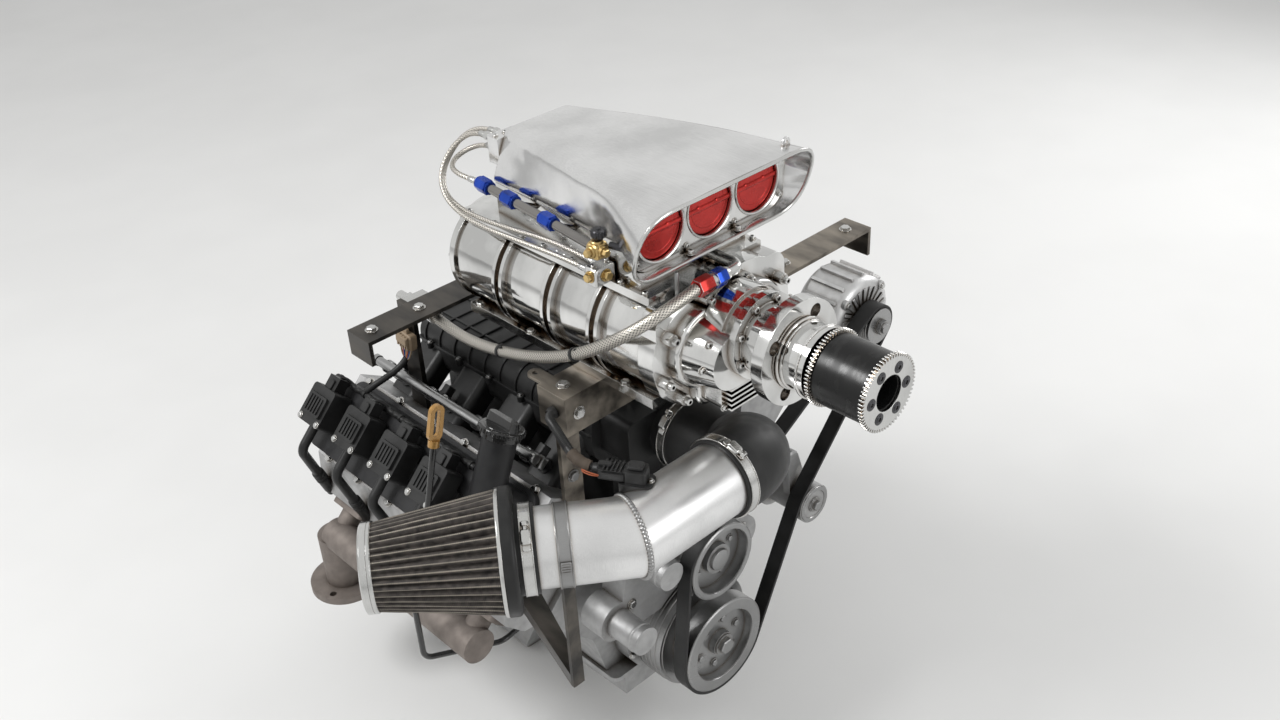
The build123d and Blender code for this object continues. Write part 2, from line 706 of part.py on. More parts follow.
alternator.part.label = "alternator"
export_step(alternator.part, "parts/alternator.step")

bracket_outline = [(176, 194), (216, 150), (388, 318), (394, 352), (300, 404), (262, 404), (214, 380)]
with BuildPart() as accessory_bracket:
    with BuildSketch(front(HEAD_FRONT)):
        with BuildLine():
            Polyline(*bracket_outline, close=True)
        make_face()
    extrude(amount=12)
    with BuildSketch(front(BLOCK_LENGTH)):
        with Locations(TENSION_WHEEL[:2]):
            Circle(TENSION_WHEEL[2] - 6)
    extrude(amount=BELT_BACK - BLOCK_LENGTH)
    with BuildSketch(front(BELT_BACK)):
        with Locations(TENSION_WHEEL[:2]):
            Circle(TENSION_WHEEL[2])
    extrude(amount=BELT_WIDTH)
accessory_bracket.part.label = "accessory_bracket"
export_step(accessory_bracket.part, "parts/accessory_bracket.step")

# Drive belt: one loop round the crank, the tensioner's back, the alternator and the pump
belt_wheels = [CRANK_WHEEL, TENSION_WHEEL, ALTERNATOR_WHEEL, PUMP_WHEEL]
belt_far = BELT_GAP + BELT_THICKNESS
with BuildPart() as drive_belt:
    for near, far, mode in ((belt_far, BELT_GAP, Mode.ADD), (BELT_GAP, belt_far, Mode.SUBTRACT)):
        with BuildSketch(front(BELT_BACK)):
            with BuildLine():
                runs = wheel_path(belt_wheels, near, far)
                for run, following in zip(runs, runs[1:] + runs[:1]):
                    ThreePointArc(run[0], run[1], run[2])
                    Line(run[2], following[0])
            make_face()
        extrude(amount=BELT_WIDTH, mode=mode)
drive_belt.part.label = "drive_belt"
export_step(drive_belt.part, "parts/drive_belt.step")

# Crankshaft with its rear flange, and the damper and pulley on its nose
with BuildPart() as crankshaft:
    with BuildSketch(front(18)):
        Circle(CRANK_RADIUS)
    extrude(amount=BELT_BACK - 18)
    with BuildSketch(front(2)):
        Circle(CRANK_FLANGE_RADIUS)
    extrude(amount=16)
    with BuildSketch(front(2)):
        with PolarLocations(CRANK_FLANGE_PCD / 2, 6, start_angle=90):
            Circle(CRANK_HOLE_RADIUS)
    extrude(amount=CRANK_HOLE_DEPTH, mode=Mode.SUBTRACT)
crankshaft.part.label = "crankshaft"
export_step(crankshaft.part, "parts/crankshaft.step")

with BuildPart() as crank_pulley:
    with BuildSketch(front(544)):
        Circle(CRANK_DAMPER_RADIUS)
        Circle(CRANK_RADIUS, mode=Mode.SUBTRACT)
    extrude(amount=50)
    with BuildSketch(front(594)):
        Circle(64)
        Circle(CRANK_RADIUS, mode=Mode.SUBTRACT)
    extrude(amount=22)
    with BuildSketch(front(BELT_BACK)):
        Circle(CRANK_WHEEL[2])
    extrude(amount=BELT_WIDTH)
    with BuildSketch(front(BELT_BACK + BELT_WIDTH)):
        Circle(60)
    extrude(amount=-14, mode=Mode.SUBTRACT)
    with BuildSketch(front(BELT_BACK + BELT_WIDTH - 14)):
        Circle(20)
    extrude(amount=12)
crank_pulley.part.label = "crank_pulley"
export_step(crank_pulley.part, "parts/crank_pulley.step")

with BuildPart() as pump_pulley:
    with BuildSketch(front(BELT_BACK)):
        with Locations(PUMP_WHEEL[:2]):
            Circle(PUMP_WHEEL[2])
    extrude(amount=BELT_WIDTH)
    with BuildSketch(front(BELT_BACK + BELT_WIDTH)):
        with Locations(PUMP_WHEEL[:2]):
            Circle(52)
    extrude(amount=-18, mode=Mode.SUBTRACT)
    with BuildSketch(front(BELT_BACK + BELT_WIDTH - 18)):
        with Locations(PUMP_WHEEL[:2]):
            Circle(24)
    extrude(amount=10)
    with BuildSketch(front(BELT_BACK)):
        with Locations(PUMP_WHEEL[:2]):
            Circle(10)
    extrude(amount=-36)
pump_pulley.part.label = "water_pump_pulley"
export_step(pump_pulley.part, "parts/water_pump_pulley.step")

with BuildPart() as alternator_pulley:
    with BuildSketch(front(BELT_BACK)):
        with Locations(ALTERNATOR_WHEEL[:2]):
            Circle(ALTERNATOR_WHEEL[2])
    extrude(amount=BELT_WIDTH + 2)
    with BuildSketch(front(BELT_BACK)):
        with Locations(ALTERNATOR_WHEEL[:2]):
            Circle(8)
    extrude(amount=-50)
    with BuildSketch(front(BELT_BACK + BELT_WIDTH + 2)):
        with Locations(ALTERNATOR_WHEEL[:2]):
            RegularPolygon(12, 6)
    extrude(amount=8)
alternator_pulley.part.label = "alternator_pulley"
export_step(alternator_pulley.part, "parts/alternator_pulley.step")

# Steel cradle: front and rear cross bars under the blower, on legs from the heads
with BuildPart() as cradle_front:
    with BuildSketch(Plane.XY.offset(BAR_TOP)):
        with BuildLine():
            Polyline((-168, -467), (-168, -523), (160, -523), (160, -519), (478, -519), (478, -467),
                     close=True)
        make_face()
    extrude(amount=-BAR_THICKNESS)
    with BuildSketch(front(523)):
        with Locations((-4, BAR_TOP - 30)):
            Rectangle(328, 60)
    extrude(amount=-BAR_THICKNESS)
    with BuildSketch(Plane.YZ.offset(-168)):
        with Locations((-495, BAR_TOP - 30)):
            Rectangle(56, 60)
    extrude(amount=BAR_THICKNESS)
    with BuildSketch(Plane.YZ.offset(478)):
        with Locations((-493, BAR_TOP - 24)):
            Rectangle(52, 48)
    extrude(amount=-BAR_THICKNESS)
    with BuildSketch(Plane.XY.offset(BAR_TOP)):
        with Locations((-150, -456)):
            Rectangle(22, 26)
        with Locations((-150, -443)):
            Circle(11)
            Circle(4.5, mode=Mode.SUBTRACT)
    extrude(amount=-4)
    with BuildSketch(front(HEAD_FRONT)):
        with Locations((-146, 345), (146, 345)):
            Rectangle(34, 260)
    extrude(amount=8)
cradle_front.part.label = "cradle_front"
export_step(cradle_front.part, "parts/cradle_front.step")

with BuildPart() as cradle_rear:
    with BuildSketch(Plane.XY.offset(BAR_TOP)):
        with Locations((0, -180)):
            Rectangle(520, 54)
    extrude(amount=-BAR_THICKNESS)
    for bar_side in (-1, 1):
        with BuildSketch(Plane.YZ.offset(bar_side * 260)):
            with Locations((-180, BAR_TOP - 20)):
                Rectangle(54, 40)
        extrude(amount=-bar_side * BAR_THICKNESS)
        with BuildSketch(Plane.XY.offset(250)):
            with Locations((bar_side * REAR_LEG_X, -144)):
                Rectangle(8, 36)
        extrude(amount=BAR_TOP - 250 - BAR_THICKNESS)
    for side_name, side in SIDES:
        add(heads[side_name], mode=Mode.SUBTRACT)
cradle_rear.part.label = "cradle_rear"
export_step(cradle_rear.part, "parts/cradle_rear.step")

# Blower case: two rotor barrels in one hull, flanges and three double ribs
with BuildPart() as blower_case:
    with BuildSketch(front(CASE_BACK)):
        with Locations((0, CASE_Z)):
            SlotCenterToCenter(2 * ROTOR_X, 2 * CASE_RADIUS)
    extrude(amount=CASE_FRONT - CASE_BACK)
    with BuildSketch(front(CASE_BACK)):
        with Locations((0, CASE_TOP - 6)):
            Rectangle(204, 12)
        with Locations((0, CASE_BOTTOM + 7)):
            Rectangle(210, 14)
    extrude(amount=CASE_FRONT - CASE_BACK)
    for rib in RIBS:
        for rib_back in (rib - RIB_GAP / 2 - RIB_WIDTH, rib + RIB_GAP / 2):
            with BuildSketch(front(rib_back)):
                with Locations((0, CASE_Z)):
                    SlotCenterToCenter(2 * ROTOR_X, 2 * RIB_RADIUS)
                with Locations((0, CASE_TOP + 20), (0, CASE_BOTTOM - 20)):
                    Rectangle(300, 40, mode=Mode.SUBTRACT)
            extrude(amount=RIB_WIDTH)
blower_case.part.label = "blower_case"
export_step(blower_case.part, "parts/blower_case.step")

with BuildPart() as rear_plate:
    with BuildSketch(front(CASE_BACK)):
        with Locations((0, CASE_Z)):
            SlotCenterToCenter(2 * ROTOR_X, 2 * (CASE_RADIUS + 4))
    extrude(amount=-14)
    fillet(rear_plate.faces().sort_by(Axis.Y)[-1].edges(), 5)
    with BuildSketch(front(CASE_BACK - 14)):
        with Locations((0, CASE_Z)):
            SlotCenterToCenter(2 * ROTOR_X, 2 * (CASE_RADIUS - 8))
    extrude(amount=-10)
    fillet(rear_plate.faces().sort_by(Axis.Y)[-1].edges(), 4)
    with BuildSketch(front(CASE_BACK - 24)):
        with Locations((-ROTOR_X, CASE_Z), (ROTOR_X, CASE_Z)):
            Circle(26)
    extrude(amount=-10)
rear_plate.part.label = "blower_rear_plate"
export_step(rear_plate.part, "parts/blower_rear_plate.step")

gear_front = CASE_FRONT + PLATE_THICKNESS
with BuildPart() as front_plate:
    with BuildSketch(front(CASE_FRONT)):
        with Locations((0, CASE_Z)):
            SlotCenterToCenter(2 * ROTOR_X, 2 * (CASE_RADIUS + 6))
        with Locations((0, CASE_Z + 8)):
            RectangleRounded(236, 130, 24)
    extrude(amount=PLATE_THICKNESS)
    with BuildSketch(front(gear_front)):
        with Locations(*[(side * x, z) for x, z in PLATE_BOSSES for side in (-1, 1)]):
            Circle(8)
    extrude(amount=13)
front_plate.part.label = "blower_front_plate"
export_step(front_plate.part, "parts/blower_front_plate.step")

# Gear cover with a step, a snout seat and a low panel of cooling fins
with BuildPart() as gear_cover:
    with BuildSketch(front(gear_front)):
        with Locations((0, CASE_Z)):
            SlotCenterToCenter(2 * ROTOR_X, 2 * (CASE_RADIUS - 20))
        with Locations((-12, CASE_Z - 38)):
            RectangleRounded(104, 92, 18)
    extrude(amount=16)
    fillet(gear_cover.faces().sort_by(Axis.Y)[0].edges(), 5)
    with BuildSketch(front(gear_front + 16)):
        with Locations((0, CASE_Z)):
            SlotCenterToCenter(2 * ROTOR_X, 2 * (CASE_RADIUS - 27))
    extrude(amount=GEAR_COVER_DEPTH - 16, taper=12)
    with BuildSketch(front(gear_front + 16)):
        with Locations((0, SNOUT_Z)):
            Circle(58)
        with Locations((-12, CASE_Z - 38)):
            RectangleRounded(88, 78, 12)
    extrude(amount=GEAR_COVER_DEPTH - 30)
    with BuildSketch(front(gear_front + 16)):
        with Locations((0, SNOUT_Z)):
            Circle(54)
    extrude(amount=GEAR_COVER_DEPTH - 16)
    for fin in range(FIN_COUNT):
        with BuildSketch(front(gear_front + 16)):
            with Locations((-12, CASE_Z - 72 + fin * FIN_PITCH)):
                Rectangle(76, 3)
        extrude(amount=GEAR_COVER_DEPTH - 18)
gear_cover.part.label = "gear_cover"
export_step(gear_cover.part, "parts/gear_cover.step")

# Drive snout: seat, neck, wide flange with four open pockets, barrel and the bore of the shaft
with BuildPart() as drive_snout:
    for step_back, step_front, step_radius in SNOUT_STEPS:
        with BuildSketch(front(step_back)):
            with Locations((0, SNOUT_Z)):
                Circle(step_radius)
        extrude(amount=step_front - step_back)
    pocket_circle, pocket_count, pocket_radius = SNOUT_POCKETS
    with BuildSketch(front(SNOUT_STEPS[2][1])):
        with Locations((0, SNOUT_Z)):
            with PolarLocations(pocket_circle, pocket_count, start_angle=60):
                Circle(pocket_radius)
    extrude(amount=-13, mode=Mode.SUBTRACT)
    with BuildSketch(front(SNOUT_END)):
        with Locations((0, SNOUT_Z)):
            Circle(BLOWER_SHAFT_RADIUS + 0.3)
    extrude(amount=-70, mode=Mode.SUBTRACT)
drive_snout.part.label = "drive_snout"
export_step(drive_snout.part, "parts/drive_snout.step")


def toothed(tip, root, teeth):
    """Ring outline with square teeth, as points."""
    points = []
    pitch = 2 * pi / teeth
    for n in range(teeth):
        for share, radius in ((0, root), (0.45, root), (0.55, tip), (0.95, tip)):
            angle = (n + share) * pitch
            points.append((radius * cos(angle), radius * sin(angle)))
    return points


# Blower pulley: drum between two toothed rings, with a recessed hub
RING_WIDTH = 7
with BuildPart() as blower_pulley:
    for ring_back in (PULLEY_BACK, PULLEY_FRONT - RING_WIDTH):
        with BuildSketch(front(ring_back)):
            with Locations((0, SNOUT_Z)):
                with BuildLine():
                    Polyline(*[(x, z + SNOUT_Z) for x, z in toothed(PULLEY_TIP_RADIUS, 46.5, PULLEY_TEETH)],
                             close=True)
            make_face()
        extrude(amount=RING_WIDTH)
    with BuildSketch(front(PULLEY_BACK + RING_WIDTH)):
        with Locations((0, SNOUT_Z)):
            Circle(46)
    extrude(amount=PULLEY_FRONT - PULLEY_BACK - 2 * RING_WIDTH)
    with BuildSketch(front(PULLEY_FRONT)):
        with Locations((0, SNOUT_Z)):
            Circle(22)
    extrude(amount=-26, mode=Mode.SUBTRACT)
    with BuildSketch(front(PULLEY_BACK)):
        with Locations((0, SNOUT_Z)):
            Circle(BLOWER_SHAFT_RADIUS)
    extrude(amount=-66)
blower_pulley.part.label = "blower_pulley"
export_step(blower_pulley.part, "parts/blower_pulley.step")

# Scoop: ruled shell from the leaning mouth through the throat to the narrow rear wall
lip_plane = Plane(origin=(0, -LIP_FORWARD, LIP_Z), x_dir=(1, 0, 0),
                  z_dir=(0, -cos(radians(LIP_LEAN)), -sin(radians(LIP_LEAN))))


def scoop_body(inset, mouth, back):
    """Solid of the scoop's outside, or of its hollow when inset by the wall."""
    with BuildPart() as body:
        with BuildSketch(lip_plane.offset(mouth)):
            RectangleRounded(LIP_WIDTH - 2 * inset, LIP_HEIGHT - 2 * inset, 50 - inset)
        for outline, forward, radius in ((THROAT, THROAT_FORWARD, 24), (REAR, back, 14)):
            with BuildSketch(front(forward)) as section:
                Polygon(*outline, align=None)
                fillet(section.vertices(), radius)
                if inset:
                    offset(amount=-inset)
        loft(ruled=True)
    return body.part


scoop_outside = scoop_body(0, 0, SCOOP_BACK)
scoop_hollow = scoop_body(SCOOP_WALL, 0, SCOOP_BACK + 4)
with BuildPart() as scoop:
    add(scoop_outside)
    add(scoop_hollow, mode=Mode.SUBTRACT)
    with BuildSketch(front(EAR_FORWARD)):
        with Locations((EAR_X, EAR_Z)):
            Rectangle(2 * EAR_RADIUS, 16)
        with Locations((EAR_X, EAR_Z + 8)):
            Circle(EAR_RADIUS)
            Circle(3, mode=Mode.SUBTRACT)
    extrude(amount=3)
scoop.part.label = "scoop"
export_step(scoop.part, "parts/scoop.step")

# Hat base: the tapered box that carries the scoop on the blower
with BuildPart() as hat_base:
    with BuildSketch(Plane.XY.offset(CASE_TOP)):
        with BuildLine():
            Polyline((-70, -HAT_BACK), (-95, -HAT_FRONT), (95, -HAT_FRONT), (70, -HAT_BACK), close=True)
        make_face()
    extrude(amount=HAT_TOP - CASE_TOP)
    add(scoop_outside, mode=Mode.SUBTRACT)
hat_base.part.label = "hat_base"
export_step(hat_base.part, "parts/hat_base.step")

# Bulkhead inside the mouth: a web plate with three round throats and the shaft's bore
with BuildPart() as bulkhead:
    add(scoop_hollow)
    with BuildSketch(front(DISC_FORWARD - WEB_THICKNESS / 2)):
        with Locations((0, LIP_Z)):
            Rectangle(400, 200)
    extrude(amount=WEB_THICKNESS, mode=Mode.INTERSECT)
    with BuildSketch(front(DISC_FORWARD - WEB_THICKNESS)):
        with Locations(*[(n * DISC_PITCH, DISC_Z) for n in (-1, 0, 1)]):
            Circle(DISC_RADIUS + DISC_GAP)
    extrude(amount=2 * WEB_THICKNESS, mode=Mode.SUBTRACT)
    with BuildSketch(Plane.YZ.offset(-SHAFT_REACH - 1)):
        with Locations((-DISC_FORWARD, DISC_Z)):
            Circle(SHAFT_RADIUS + 0.3)
    extrude(amount=2 * SHAFT_REACH + 2, mode=Mode.SUBTRACT)
bulkhead.part.label = "butterfly_bulkhead"
export_step(bulkhead.part, "parts/butterfly_bulkhead.step")

# Three throttle discs on one shaft
with BuildPart() as butterflies:
    with BuildSketch(front(DISC_FORWARD - DISC_THICKNESS / 2)):
        with Locations(*[(n * DISC_PITCH, DISC_Z) for n in (-1, 0, 1)]):
            Circle(DISC_RADIUS)
    extrude(amount=DISC_THICKNESS)
    with BuildSketch(Plane.YZ.offset(-SHAFT_REACH)):
        with Locations((-DISC_FORWARD, DISC_Z)):
            Circle(SHAFT_RADIUS)
    extrude(amount=2 * SHAFT_REACH)
butterflies.part.label = "butterflies"
export_step(butterflies.part, "parts/butterflies.step")

# Fuel block on the scoop's rear wall, with three stubs pointing back
with BuildPart() as fuel_block:
    with BuildSketch(Plane.XZ.offset(SCOOP_BACK)):
        with Locations((-50, 733)):
            Rectangle(44, 38)
    extrude(amount=-22)
    with BuildSketch(Plane.XZ.offset(SCOOP_BACK - 22)):
        with Locations(*[(x, z) for x, z in STUBS]):
            Circle(5)
    extrude(amount=-12)
fuel_block.part.label = "fuel_block"
export_step(fuel_block.part, "parts/fuel_block.step")

# Fuel rail low on the right of the scoop, with its nuts, front tee and the hoses' end block
rail_start = Vector(*RAIL_START)
rail_length = (Vector(*RAIL_END) - rail_start).length
rail_dir = (Vector(*RAIL_END) - rail_start).normalized()
with BuildPart() as fuel_tee:
    with BuildSketch(front(-RAIL_END[1])):
        with Locations((-130, TEE_Z)):
            RectangleRounded(32, 24, 3)
    extrude(amount=22)
    with BuildSketch(Plane.XY.offset(CASE_TOP)):
        with Locations((-109.5, -545)):
            Rectangle(34, 22)
    extrude(amount=24)
fuel_tee.part.label = "fuel_tee"
export_step(fuel_tee.part, "parts/fuel_tee.step")

with BuildPart() as fuel_rail:
    with BuildSketch(Plane(origin=rail_start, z_dir=rail_dir)):
        Circle(RAIL_RADIUS)
    extrude(amount=rail_length)
    for share in NUT_SHARES[1:]:
        place = rail_start + rail_dir * (share * rail_length + 18)
        with BuildSketch(Plane(origin=place, x_dir=(0, 1, 0), z_dir=(1, 0, -0.5))):
            Circle(4)
        extrude(amount=60)
    add(hat_base.part, mode=Mode.SUBTRACT)
    add(scoop_outside, mode=Mode.SUBTRACT)
    add(fuel_tee.part, mode=Mode.SUBTRACT)
fuel_rail.part.label = "fuel_rail"
export_step(fuel_rail.part, "parts/fuel_rail.step")

with BuildPart() as fuel_nuts:
    for share in NUT_SHARES:
        place = rail_start + rail_dir * (share * rail_length)
        with BuildSketch(Plane(origin=place - rail_dir * 10, z_dir=rail_dir)):
            RegularPolygon(11, 6)
            Circle(RAIL_RADIUS, mode=Mode.SUBTRACT)
        extrude(amount=20)
fuel_nuts.part.label = "fuel_nuts"
export_step(fuel_nuts.part, "parts/fuel_nuts.step")

# Fuel lines: thin braided hoses looping from the fuel block round to the rail's tee
for line_number, route in enumerate(FUEL_LINES, 1):
    bends = hose_radii(route)
    print("fuel line", line_number, "radii", [round(bend) for bend in bends])
    with BuildPart() as fuel_line:
        with BuildLine() as hose_line:
            FilletPolyline(*route, radius=bends)
        with BuildSketch(Plane(hose_line.line @ 0, z_dir=hose_line.line % 0)):
            Circle(FUEL_LINE_RADIUS)
        sweep()
    fuel_line.part.label = f"fuel_line_{line_number}"
    export_step(fuel_line.part, f"parts/fuel_line_{line_number}.step")

# Feed hose: thick braided hose along the right of the case, with a fitting at each end
bends = hose_radii(FEED_ROUTE)
print("feed hose radii", [round(bend) for bend in bends])
with BuildPart() as feed_hose:
    with BuildLine() as feed_line:
        FilletPolyline(*FEED_ROUTE, radius=bends)
    with BuildSketch(Plane(feed_line.line @ 0, z_dir=feed_line.line % 0)):
        Circle(FEED_RADIUS)
    sweep()
feed_length = sum(edge.length for edge in feed_line.edges())
print("feed hose length", round(feed_length), "volume", round(feed_hose.part.volume))
feed_hose.part.label = "feed_hose"
export_step(feed_hose.part, "parts/feed_hose.step")

# Fittings of the feed hose: an elbow with two nuts on the hat, and a bulkhead block at the rear bar
hose_start = Vector(*FEED_ROUTE[0])
hose_end = Vector(*FEED_ROUTE[-1])
rear_leg_face = -REAR_LEG_X + BAR_THICKNESS - 2
with BuildPart() as feed_fittings:
    with BuildLine() as elbow_line:
        FilletPolyline((FEED_ELBOW_X, -HAT_FRONT, hose_start.Z), (FEED_ELBOW_X, hose_start.Y, hose_start.Z),
                       (hose_start.X + 3, hose_start.Y, hose_start.Z), radius=15)
    with BuildSketch(Plane(elbow_line.line @ 0, z_dir=elbow_line.line % 0)):
        Circle(FEED_ELBOW_RADIUS)
    sweep()
    for nut_start, nut_length in ((hose_start.X, 24), (hose_start.X + 30, 18)):
        with BuildSketch(Plane.YZ.offset(nut_start)):
            with Locations((hose_start.Y, hose_start.Z)):
                RegularPolygon(FEED_NUT_RADIUS, 6)
        extrude(amount=nut_length)
    with BuildSketch(Plane(feed_line.line @ 1, z_dir=feed_line.line % 1)):
        Circle(FEED_NUT_RADIUS - 1)
    extrude(amount=40)
    with BuildSketch(front(128)):
        with Locations(((rear_leg_face - 110) / 2, BAR_TOP - BAR_THICKNESS - 15)):
            Rectangle(-110 - rear_leg_face, 30)
    extrude(amount=30)
    with BuildSketch(front(128)):
        with Locations((hose_end.X + 4, hose_end.Z)):
            RegularPolygon(FEED_NUT_RADIUS, 6)
    extrude(amount=-14)
    with BuildSketch(front(114)):
        with Locations((hose_end.X + 4, hose_end.Z)):
            Circle(8)
    extrude(amount=-20)
    add(feed_hose.part, mode=Mode.SUBTRACT)
feed_fittings.part.label = "feed_fittings"
export_step(feed_fittings.part, "parts/feed_fittings.step")
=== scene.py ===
"""Looks of a supercharged V8 engine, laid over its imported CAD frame. Metres, +Z up, -Y the front."""

import json
import math

import bmesh
import bpy
from bpy.props import FloatProperty, FloatVectorProperty, IntProperty, PointerProperty
from mathutils import Matrix, Vector, noise


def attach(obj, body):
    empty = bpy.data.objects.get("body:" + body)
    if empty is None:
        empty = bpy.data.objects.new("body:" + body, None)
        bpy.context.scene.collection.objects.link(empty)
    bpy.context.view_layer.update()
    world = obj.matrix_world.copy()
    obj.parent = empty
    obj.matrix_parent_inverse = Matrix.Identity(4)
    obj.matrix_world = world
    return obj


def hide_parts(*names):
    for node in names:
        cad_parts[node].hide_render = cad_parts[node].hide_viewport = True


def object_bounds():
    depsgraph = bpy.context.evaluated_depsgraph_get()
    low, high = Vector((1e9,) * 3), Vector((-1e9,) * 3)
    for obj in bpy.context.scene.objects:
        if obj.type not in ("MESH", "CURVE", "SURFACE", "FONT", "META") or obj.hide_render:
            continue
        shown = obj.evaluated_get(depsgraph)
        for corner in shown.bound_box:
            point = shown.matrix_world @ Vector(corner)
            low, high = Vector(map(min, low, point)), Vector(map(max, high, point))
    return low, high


bl_info = {
    "name": "Supercharged V8 Engine",
    "version": (1, 0, 0),
    "blender": (4, 5, 0),
    "location": "View3D > Sidebar > Engine",
    "description": "Finishes and fine pieces of a supercharged V8 engine with its scoop and intake",
    "category": "Add Mesh",
}

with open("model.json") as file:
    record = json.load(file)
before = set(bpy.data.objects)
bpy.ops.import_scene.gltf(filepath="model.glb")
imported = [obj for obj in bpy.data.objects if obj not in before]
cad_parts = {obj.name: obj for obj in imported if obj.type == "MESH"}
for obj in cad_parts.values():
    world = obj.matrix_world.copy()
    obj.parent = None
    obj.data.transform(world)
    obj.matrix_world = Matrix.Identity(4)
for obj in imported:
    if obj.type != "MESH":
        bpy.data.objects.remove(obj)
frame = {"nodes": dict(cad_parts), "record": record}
CAD_LOW, CAD_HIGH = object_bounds()
SLOT_COLOURS = {m["slot"]: m["base_color"] for m in frame["record"]["materials"]}
NODE_SLOTS = {p["node"]: p["material_slot"] for p in frame["record"]["subparts"]}
ENGINE = "engine"
SIDES = ((-1, "right"), (1, "left"))
UP, FRONT, BACK = Vector((0, 0, 1)), Vector((0, -1, 0)), Vector((0, 1, 0))
FINISHES = {}
# Nodes whose metal or plastic differs a little from the rest of their slot; the alternator's lighter casting is
# painted light, a lit copy of the cast aluminium
CLOSER_FINISHES = {"intake_pipe": "satin_aluminium", "cradle_front": "bare_steel", "oil_cap": "glossy_black",
                   "fuel_rail": "rail_steel", "dipstick_ring": "gold_ring", "dipstick_tube": "glossy_black",
                   "alternator": "lit_casting_copy"}

# Hose routes, in metres: the corners of each hose from one fitting to the other
FUEL_ROUTES = [
    [(-0.060, -0.276, 0.744), (-0.060, -0.246, 0.743), (-0.070, -0.220, 0.728), (-0.086, -0.204, 0.702),
     (-0.103, -0.208, 0.676), (-0.116, -0.236, 0.658), (-0.124, -0.282, 0.651), (-0.127, -0.332, 0.651),
     (-0.126, -0.382, 0.653), (-0.122, -0.434, 0.654), (-0.116, -0.486, 0.653), (-0.114, -0.534, 0.651)],
    [(-0.044, -0.276, 0.744), (-0.044, -0.246, 0.744), (-0.054, -0.216, 0.732), (-0.070, -0.198, 0.706),
     (-0.091, -0.198, 0.678), (-0.107, -0.222, 0.658), (-0.113, -0.264, 0.651), (-0.115, -0.312, 0.652),
     (-0.113, -0.362, 0.655), (-0.108, -0.416, 0.659), (-0.103, -0.472, 0.660), (-0.102, -0.534, 0.656)],
    [(-0.052, -0.276, 0.724), (-0.0515, -0.253, 0.723), (-0.059, -0.230, 0.715), (-0.078, -0.221, 0.706),
     (-0.097, -0.230, 0.700), (-0.104, -0.253, 0.698), (-0.103, -0.277, 0.6975), (-0.100, -0.300, 0.696)],
]
FEED_ROUTE = [(-0.060, -0.664, 0.651), (-0.106, -0.663, 0.643), (-0.144, -0.638, 0.618),
              (-0.157, -0.590, 0.582), (-0.159, -0.540, 0.551), (-0.158, -0.486, 0.524),
              (-0.156, -0.428, 0.501), (-0.153, -0.366, 0.482), (-0.149, -0.303, 0.468),
              (-0.142, -0.246, 0.460), (-0.133, -0.192, 0.457)]


class EngineStageSettings(bpy.types.PropertyGroup):
    """Sizes and colours of the floor, lamps and camera."""

    floor_colour: FloatVectorProperty(
        name="Floor colour", description="Colour of the plain floor and background",
        subtype="COLOR", default=(0.80, 0.80, 0.79), min=0, max=1)
    lens: FloatProperty(
        name="Camera lens", description="Focal length on a 36 mm wide sensor, in millimetres",
        default=37.4, min=10)
    sky_strength: FloatProperty(
        name="Sky strength", description="Brightness of the soft light from all round",
        default=0.55, min=0)


class EngineHoseSettings(bpy.types.PropertyGroup):
    """Sizes of the braided hoses."""

    fuel_radius: FloatProperty(
        name="Fuel hose radius", description="Outer radius of the thin fuel hoses",
        unit="LENGTH", default=0.0035, min=0.001)
    feed_radius: FloatProperty(
        name="Feed hose radius", description="Outer radius of the thick feed hose",
        unit="LENGTH", default=0.008, min=0.001)
    braid_sides: IntProperty(
        name="Braid sides", description="Faces round each hose", default=28, min=8)


class EnginePulleySettings(bpy.types.PropertyGroup):
    """Sizes of the blower pulley's toothed rings."""

    teeth: IntProperty(name="Teeth", description="Teeth round each ring", default=60, min=12)
    tip_radius: FloatProperty(
        name="Tip radius", description="Radius over the tips of the teeth",
        unit="LENGTH", default=0.050, min=0.02)


class EngineFilterSettings(bpy.types.PropertyGroup):
    """Sizes of the cone filter's pleats."""

    pleats: IntProperty(name="Pleats", description="Pleats round the cone", default=40, min=12)
    base_radius: FloatProperty(
        name="Base radius", description="Radius over the pleats at the base",
        unit="LENGTH", default=0.0775, min=0.02)
    tip_radius: FloatProperty(
        name="Tip radius", description="Radius over the pleats at the tip",
        unit="LENGTH", default=0.0535, min=0.02)


# The filter's folds: points round each one, and the UV length from one point to the next, in metres
FOLD_STEPS = 8
FOLD_STEP_UV = 0.0022
# Length of one band of a wave texture at scale 1
WAVE_LENGTH = math.tau / 20
CAD_SHARP_ANGLE = math.radians(32)


# Shaders


def add_node(tree, kind, links=(), **values):
    """Add a shader node, set its sockets or settings by name, and link sockets into it."""
    node = tree.nodes.new(kind)
    for key, value in values.items():
        if hasattr(node, key):
            setattr(node, key, value)
        else:
            node.inputs[key.replace("_", " ").title()].default_value = value
    for socket, source in links:
        tree.links.new(source, node.inputs[socket])
    return node


def plain_finish(name, colour, metallic, roughness):
    """Start a finish: a Principled shader with its plain values set on its own sockets."""
    material = bpy.data.materials.new(name)
    material.use_nodes = True
    shader = material.node_tree.nodes["Principled BSDF"]
    shader.inputs["Base Color"].default_value = (*colour, 1)
    shader.inputs["Metallic"].default_value = metallic
    shader.inputs["Roughness"].default_value = roughness
    FINISHES[name] = material
    return material.node_tree, shader


def grain(tree, scale, stretch=(1, 1, 1), detail=3):
    """Noise in the part's own metres, drawn out along an axis by a stretch under one."""
    place = add_node(tree, "ShaderNodeTexCoord")
    mapping = add_node(tree, "ShaderNodeMapping", [("Vector", place.outputs["Object"])], Scale=stretch)
    pattern = add_node(tree, "ShaderNodeTexNoise", [("Vector", mapping.outputs["Vector"])],
                       Scale=scale, Detail=detail)
    return pattern.outputs["Fac"]


